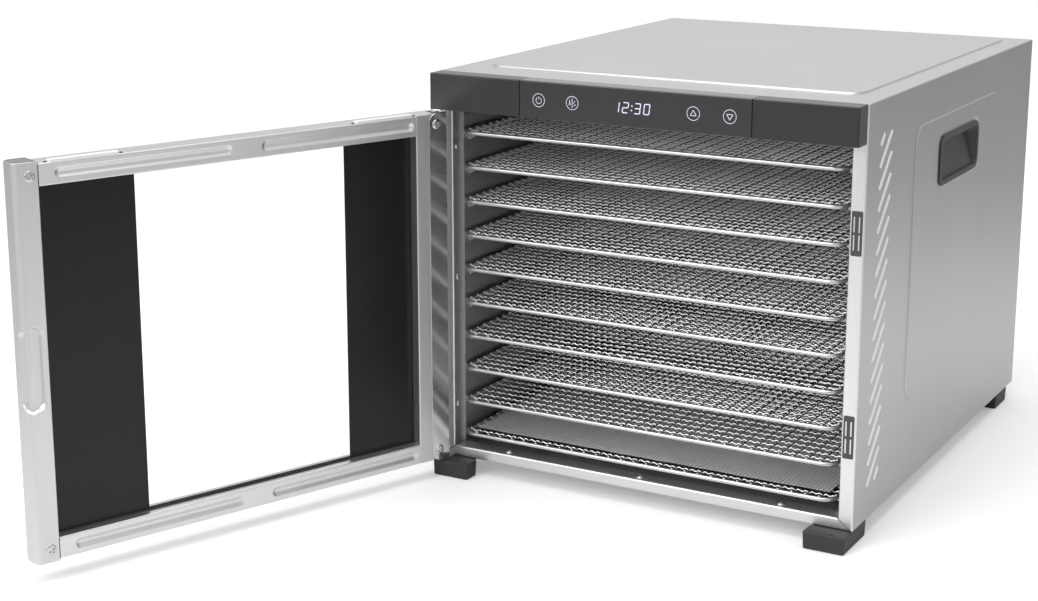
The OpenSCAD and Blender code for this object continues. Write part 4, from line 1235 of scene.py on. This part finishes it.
channel = {"reach": 4.2 * mm, "deep": 1.9 * mm, "soft": 3.6 * mm,
           "free": 2 * mm, "before": 17 * mm, "after": 6 * mm, "hinge": 11 * mm, "middle": 5 * mm}


# tube with two pressed channels in its inner face
def rail(name, box, node):
    bm = bmesh.new()
    lo, hi = box
    r = 0.9 * mm
    corners = [(hi.y, lo.z + r), (hi.y, lo.z, r), (lo.y, lo.z, r),
               (lo.y, hi.z, r), (hi.y, hi.z, r), (hi.y, hi.z - r)]
    section = filleted(corners, 4)
    rows = [[bm.verts.new((x, p.x, p.y)) for p in section] for x in (lo.x, hi.x)]
    join(bm, rows, loop=False)
    half = (lo.x + hi.x) / 2
    middle = (lo.z + hi.z) / 2
    split = half - channel["middle"]
    spans = [(lo.x, lo.x + channel["free"], half - channel["before"], split),
             (split, half + channel["after"], hi.x - channel["hinge"], hi.x)]
    for x0, a, b, x1 in spans:
        outer = ring(bm, roundRect((-x1, lo.z + r), (-x0, hi.z - r), sharp, 8), hi.y, onDoor)
        base = (-b, middle - channel["reach"]), (-a, middle + channel["reach"])
        steps = shoulder(0, channel["soft"], hi.y, hi.y - channel["deep"])
        rings = stack(bm, *base, channel["reach"], steps, onDoor, first=False, corner=8)
        join(bm, [outer, rings[0]])
    return settle(objectFrom(bm, name, [steelDoorAcross], turn=toOpen), "door", node)


# two raised strips on the top rail, near white as a painted highlight, with a dark dot at each end as
# painted shade for the end of a slot
topStrips = {"high": 1.8 * mm, "deep": 5 * mm, "long": 51 * mm, "hinge": 3 * mm, "free": 8 * mm,
             "darkEnd": 1.2 * mm, "gap": 2 * mm, "darkEndIn": 2.2 * mm}


def railStrips():
    z, y = railTop[1].z, railTop[1].y
    lowX, highX = hingeSide[1].x + topStrips["hinge"], handle[0].x - topStrips["free"]
    strips, darkEnds = bmesh.new(), bmesh.new()
    for x0, x1 in ((lowX, lowX + topStrips["long"]), (highX - topStrips["long"], highX)):
        lo, hi = (x0, y - topStrips["deep"]), (x1, y - 0.2 * mm)
        stack(strips, lo, hi, 0.8 * mm, rounded(z - 0.3 * mm, z + topStrips["high"], 0.5 * mm), onTop)
        # painted shade: dark raised dots where the ends of slots show shade
        for x in (x0 - topStrips["gap"], x1 + topStrips["gap"]):
            at = Vector((x, y - topStrips["darkEndIn"]))
            size = Vector((topStrips["darkEnd"], topStrips["darkEnd"]))
            profile = rounded(z - 0.3 * mm, z + 0.7 * mm, 0.3 * mm)
            stack(darkEnds, at - size, at + size, topStrips["darkEnd"], profile, onTop)
    settle(objectFrom(strips, "railTopStrips", [ventBright], turn=toOpen), "door")
    settle(objectFrom(darkEnds, "railTopPlugs", [catchBlack], turn=toOpen), "door")


handleStile()
stileCaps()
hingeStile()
hingeStrip()
rail("railTop", railTop, "top_rail")
rail("railLow", railLow, "bottom_rail")
railStrips()

bands = {"hinge": 61 * mm, "free": 73 * mm, "under": 3 * mm, "edge": 1 * mm, "thick": 0.12 * mm}


def doorGlass():
    bm = bmesh.new()
    lo, hi = glassBox
    a, b = (-hi.x, lo.z), (-lo.x, hi.z)
    stack(bm, a, b, 1 * mm, rounded(lo.y, hi.y, 0.3 * mm, 2), onDoor)
    settle(objectFrom(bm, "doorGlass", [glass], turn=toOpen), "door", "door_glass")
    printed = bmesh.new()
    x0, x1 = hingeSide[1].x, handle[0].x
    steps = [(0, hi.y + 0.01 * mm), (0, hi.y + bands["thick"])]
    for c, d in ((x0 - bands["under"], x0 + bands["hinge"]), (x1 - bands["free"], x1 + bands["under"])):
        lower, upper = (-d, lo.z + bands["edge"]), (-c, hi.z - bands["edge"])
        stack(printed, lower, upper, 0.3 * mm, steps, onDoor)
    return settle(objectFrom(printed, "glassPrint", [printBlack], turn=toOpen), "door")


widerHead = (1.3, 1.3, 1)  # no higher than the others, so that the door can close


def doorScrews():
    spots = []
    for island in solids("door_screws"):
        lo, hi = spread([toClosed @ p for p in island])
        middle = (lo + hi) / 2
        turn = (-math.pi / 2, 0.4 + 7 * middle.z, 0)
        spots.append(((middle.x, door["in"] - 0.2 * mm, middle.z), turn, widerHead))
    made = scattered("doorScrews", screwHeadPattern, steelScrew, spots, turn=toOpen)
    return settle(made, "door", "door_screws")


doorGlass()
doorScrews()
print("door made")


# trays

weave = {"wire": 0.44 * mm, "across": 10.7 * mm, "along": 10.3 * mm, "rod": 1.75 * mm, "corner": 9 * mm,
         "crimp": 0.58 * mm, "level": 0.5 * mm, "edge": 8.4 * mm, "bead": 0.85 * mm, "sides": 5,
         "step": 0.125}  # step: share of a pitch from point to point


# two sets of crimped wires that cross, with a weld bead where each meets the rod frame
def crimpedGroup():
    labels = ["Width", "Depth", "Across", "Along", "Radius", "Crimp", "Level", "Edge", "Bead"]
    inputs = [(n, "NodeSocketFloat") for n in labels]
    inputs += [(n, "NodeSocketMaterial") for n in ("Material", "Shaded Long Material")]
    g = nodeGroup("crimpedWires", inputs)
    given = g.tree.nodes.new("NodeGroupInput")
    value = {n: Term(g, given.outputs[n]) for n in labels}
    parts = []

    # a vector along the wires of a set, or across them
    def vector(along, across, lengthwise):
        return g.node("ShaderNodeCombineXYZ", [across, along, 0] if lengthwise else [along, across, 0])

    def wires(length, span, pitch, other, lengthwise):
        count = ((span - 2 * value["Edge"]) / pitch).math("FLOOR") + 1
        start = (count - 1) * pitch * -0.5
        row = {"Count": count, "Offset": vector(0.0, pitch, lengthwise)}
        half = length * 0.5
        ends = [vector(half * end, 0.0, lengthwise) for end in (-1, 1)]
        line = g.node("GeometryNodeCurvePrimitiveLine", {"Start": ends[0], "End": ends[1]})
        steps = (length / (other * weave["step"])).math("FLOOR") + 1
        line = g.node("GeometryNodeResampleCurve", {"Curve": line, "Count": steps})
        at = g.node("GeometryNodeMeshLine", {**row, "Start Location": vector(0.0, start, lengthwise)})
        copies = g.node("GeometryNodeInstanceOnPoints", {"Points": at, "Instance": line})
        real = g.node("GeometryNodeRealizeInstances", [copies])
        place = g.node("GeometryNodeInputPosition")
        run = g.node("ShaderNodeSeparateXYZ", [place], output=1 if lengthwise else 0)
        wave = (run / other * (4 * math.pi)).math("COSINE") * value["Crimp"] * (1 if lengthwise else -1)
        shift = g.node("ShaderNodeCombineXYZ", [0, 0, wave + value["Level"]])
        bent = g.node("GeometryNodeSetPosition", {"Geometry": real, "Offset": shift})
        circle = {"Resolution": weave["sides"], "Radius": value["Radius"]}
        profile = g.node("GeometryNodeCurvePrimitiveCircle", circle)
        swept = {"Curve": bent, "Profile Curve": profile, "Fill Caps": True}
        wire = g.node("GeometryNodeCurveToMesh", swept)
        marked = {"Geometry": wire, "Name": "lengthwise", "Value": lengthwise}
        parts.append(g.node("GeometryNodeStoreNamedAttribute", marked, data_type="BOOLEAN", domain="FACE"))
        ball = {"Segments": 7, "Rings": 5, "Radius": value["Bead"]}
        bead = g.node("GeometryNodeMeshUVSphere", ball)
        rise = g.node("ShaderNodeCombineXYZ", [0, 0, value["Bead"] * 2.0])
        for end in (-1, 1):
            first = vector((half - value["Bead"] * 0.6) * end, start, lengthwise)
            at = g.node("GeometryNodeMeshLine", {**row, "Start Location": first})
            beads = g.node("GeometryNodeInstanceOnPoints", {"Points": at, "Instance": bead})
            raised = {"Instances": beads, "Translation": rise}
            parts.append(g.node("GeometryNodeTranslateInstances", raised))

    wires(value["Depth"], value["Width"], value["Across"], value["Along"], True)
    wires(value["Width"], value["Depth"], value["Along"], value["Across"], False)
    both = g.tree.nodes.new("GeometryNodeJoinGeometry")
    for part in parts:
        g.tree.links.new(part.socket, both.inputs[0])
    real = g.node("GeometryNodeRealizeInstances", [Term(g, both.outputs[0])])
    main = Term(g, given.outputs["Material"])
    first = g.node("GeometryNodeSetMaterial", {"Geometry": real, "Material": main})
    # the lengthwise wires take the darker material: painted shade
    chosen = g.node("GeometryNodeInputNamedAttribute", ["lengthwise"], data_type="BOOLEAN")
    second = {"Geometry": first, "Selection": chosen, "Material": Term(g, given.outputs["Shaded Long Material"])}
    return finished(g, g.node("GeometryNodeSetMaterial", second))


traySteels = [steelWire, steelLongWire, steelRod]


def trayShape():
    lo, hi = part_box("tray_2")
    rod = weave["rod"]
    values = {"Width": hi.x - lo.x - 2 * rod, "Depth": hi.y - lo.y - 2 * rod, "Across": weave["across"],
              "Along": weave["along"], "Radius": weave["wire"], "Crimp": weave["crimp"],
              "Level": weave["level"], "Edge": weave["edge"], "Bead": weave["bead"],
              "Material": steelWire, "Shaded Long Material": steelLongWire}
    wires = grown(bpy.data.meshes.new("trayStart"), crimpedGroup(), values)
    wires.attributes.remove(wires.attributes["lengthwise"])
    order = {i: traySteels.index(m) for i, m in enumerate(wires.materials) if m}
    bm = bmesh.new()
    bm.from_mesh(wires)
    for face in bm.faces:
        face.material_index = order[face.material_index]
    half = Vector((values["Width"], values["Depth"])) / 2
    outline = roundRect(-half, half, weave["corner"], 8)
    path = [Vector((x, y, 0)) for x, y in outline]
    tube(bm, path, rod, 14, closed=True, material=traySteels.index(steelRod))
    made = bpy.data.meshes.new("tray")
    bm.to_mesh(made)
    bm.free()
    return made


def trays():
    shape = trayShape()
    for i in range(1, 11):
        node = f"tray_{i}"
        lo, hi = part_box(node)
        middle = (lo + hi) / 2
        copy = shape.copy()  # the rod frame lies on the tray's lowest level
        copy.transform(Matrix.Translation((middle.x, middle.y, lo.z + weave["rod"])))
        settle(objectWith(copy, f"wireTray{i}", traySteels, 50), node, node)


trays()


meshSheet = {"thick": 0.45 * mm, "wave": 0.18 * mm, "down": 0.3 * mm, "across": 60, "along": 64,
             "ripple": (190, 150), "swell": (61, 83)}  # turns in radians per metre


# the fine mesh lies on the wires with a slight wave
def fineSheet():
    lo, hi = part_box("fine_mesh_sheet")
    nx, ny = meshSheet["across"], meshSheet["along"]
    bm = bmesh.new()
    rows = []
    for j in range(ny + 1):
        row = []
        for i in range(nx + 1):
            x = lo.x + (hi.x - lo.x) * i / nx
            y = lo.y + (hi.y - lo.y) * j / ny
            (rx, ry), (sx, sy) = meshSheet["ripple"], meshSheet["swell"]
            wave = math.sin(x * rx + 1.3) * math.sin(y * ry) + 0.6 * math.sin(x * sx + y * sy)
            row.append(bm.verts.new((x, y, hi.z - meshSheet["down"] + meshSheet["wave"] * wave)))
        rows.append(row)
    for a, b in zip(rows, rows[1:]):
        for i in range(nx):
            bm.faces.new((a[i], a[i + 1], b[i + 1], b[i]))
    made = objectFrom(bm, "fineMeshSheet", [fineMesh], recalc=False)
    solidify(made, meshSheet["thick"])
    return settle(made, "tray_1", "fine_mesh_sheet")


fineSheet()
print("trays made")


# CAD nodes that stay, with their materials

carried = {
    steelChamber: ["liner_left", "liner_right", "floor_liner", "ceiling_liner", "air_baffle", "back_panel",
                   "motor_bracket"],
    steelPolished: ["upper_hinge_bracket", "lower_hinge_bracket", "motor_shaft", "temperature_probe",
                    "inlet_pins"],
    steelScrew: ["foot_screws"],
    steelHeater: ["heating_element"],
    fanMetal: ["fan_blade"],
    motorPaint: ["fan_motor"],
    ceramic: ["thermal_cutout"],
    boardGreen: ["control_board", "power_board"],
    ledWhite: ["led_display"],
    magnetDark: ["catch_magnets"],
    whitePlastic: ["hinge_bushes", "hinge_washers"],
    sealBlack: ["glass_seal"],
}
for material, nodes in carried.items():
    for node in nodes:
        shape = frame["nodes"][node].data
        shape.materials.clear()
        shape.materials.append(material)


# floor, light and backdrop

backdrop = {"size": 30, "floor": 0.9, "away": 0.5, "lift": 0.64, "fade": 0.62, "near": 0.4, "far": 1.4,
            "sky": 0.62}


# 1 for rays straight from the camera and through the glass
def seenDirectly(g):
    path = g.tree.nodes.new("ShaderNodeLightPath")
    direct, through = (Term(g, path.outputs[n]) for n in ("Is Camera Ray", "Is Transmission Ray"))
    return (direct + through).clamp()


# the floor keeps the object's shadow near it, and looks white further away; its own colour darkens with
# distance as painted shade, so the steel reflects a dimmer far floor
def floorMaterial():
    m = Material("floorPale")
    cloudy = m.noise(m.place, 3, detail=2)
    length = m.node("ShaderNodeVectorMath", [m.place], output=1, operation="LENGTH")
    far = length.step(backdrop["near"], backdrop["far"])
    # painted shade: the floor's colour goes from the floor tone to the darker away tone with distance
    tone = m.colour(far + cloudy * 0.02, grey(backdrop["floor"]), grey(backdrop["away"]))
    shown = far * backdrop["fade"] + (1 - backdrop["fade"])
    lift = m.colour(seenDirectly(m) * shown, (0, 0, 0), (1, 1, 1))
    return m.close({"Base Color": tone, "Roughness": 0.7, "Emission Color": lift,
                    "Emission Strength": backdrop["lift"]})


lamps = {"keyLight": ((-0.7, -1.9, 1.5), 1.4, 24), "topLight": ((0.1, -0.2, 2.1), 1.6, 22),
         "backLight": ((-0.7, 2.6, 1.2), 1.8, 2.5)}  # place, width and watts
aim = Vector((0.1, -0.05, 0.16))


def studio():
    size = backdrop["size"]
    shape = bpy.data.meshes.new("floor")
    corners = [(-size, -size, 0), (size, -size, 0), (size, size, 0), (-size, size, 0)]
    shape.from_pydata(corners, [], [(0, 1, 2, 3)])
    floor = objectWith(shape, "floor", [floorMaterial()])
    floor.location = (midX, cab["d"] / 2, cadBox[0][2] - 0.2 * mm)

    world = bpy.data.worlds.new("studio")
    bpy.context.scene.world = world
    world.use_nodes = True
    g = Graph(world.node_tree)
    g.tree.nodes.clear()
    white = (1, 1, 1, 1)
    dim = g.node("ShaderNodeBackground", {"Color": white, "Strength": backdrop["sky"]})
    full = g.node("ShaderNodeBackground", {"Color": white, "Strength": 1.0})
    g.node("ShaderNodeOutputWorld", [g.node("ShaderNodeMixShader", [seenDirectly(g), dim, full])])

    for name, (place, wide, power) in lamps.items():
        light = bpy.data.lights.new(name, "AREA")
        light.size = wide
        light.energy = power
        lamp = bpy.data.objects.new(name, light)
        lamp.location = place
        lamp.rotation_euler = (aim - Vector(place)).to_track_quat("-Z", "Y").to_euler()
        bpy.context.collection.objects.link(lamp)
    bpy.context.scene.view_settings.view_transform = "Standard"


studio()

print("all pieces made")
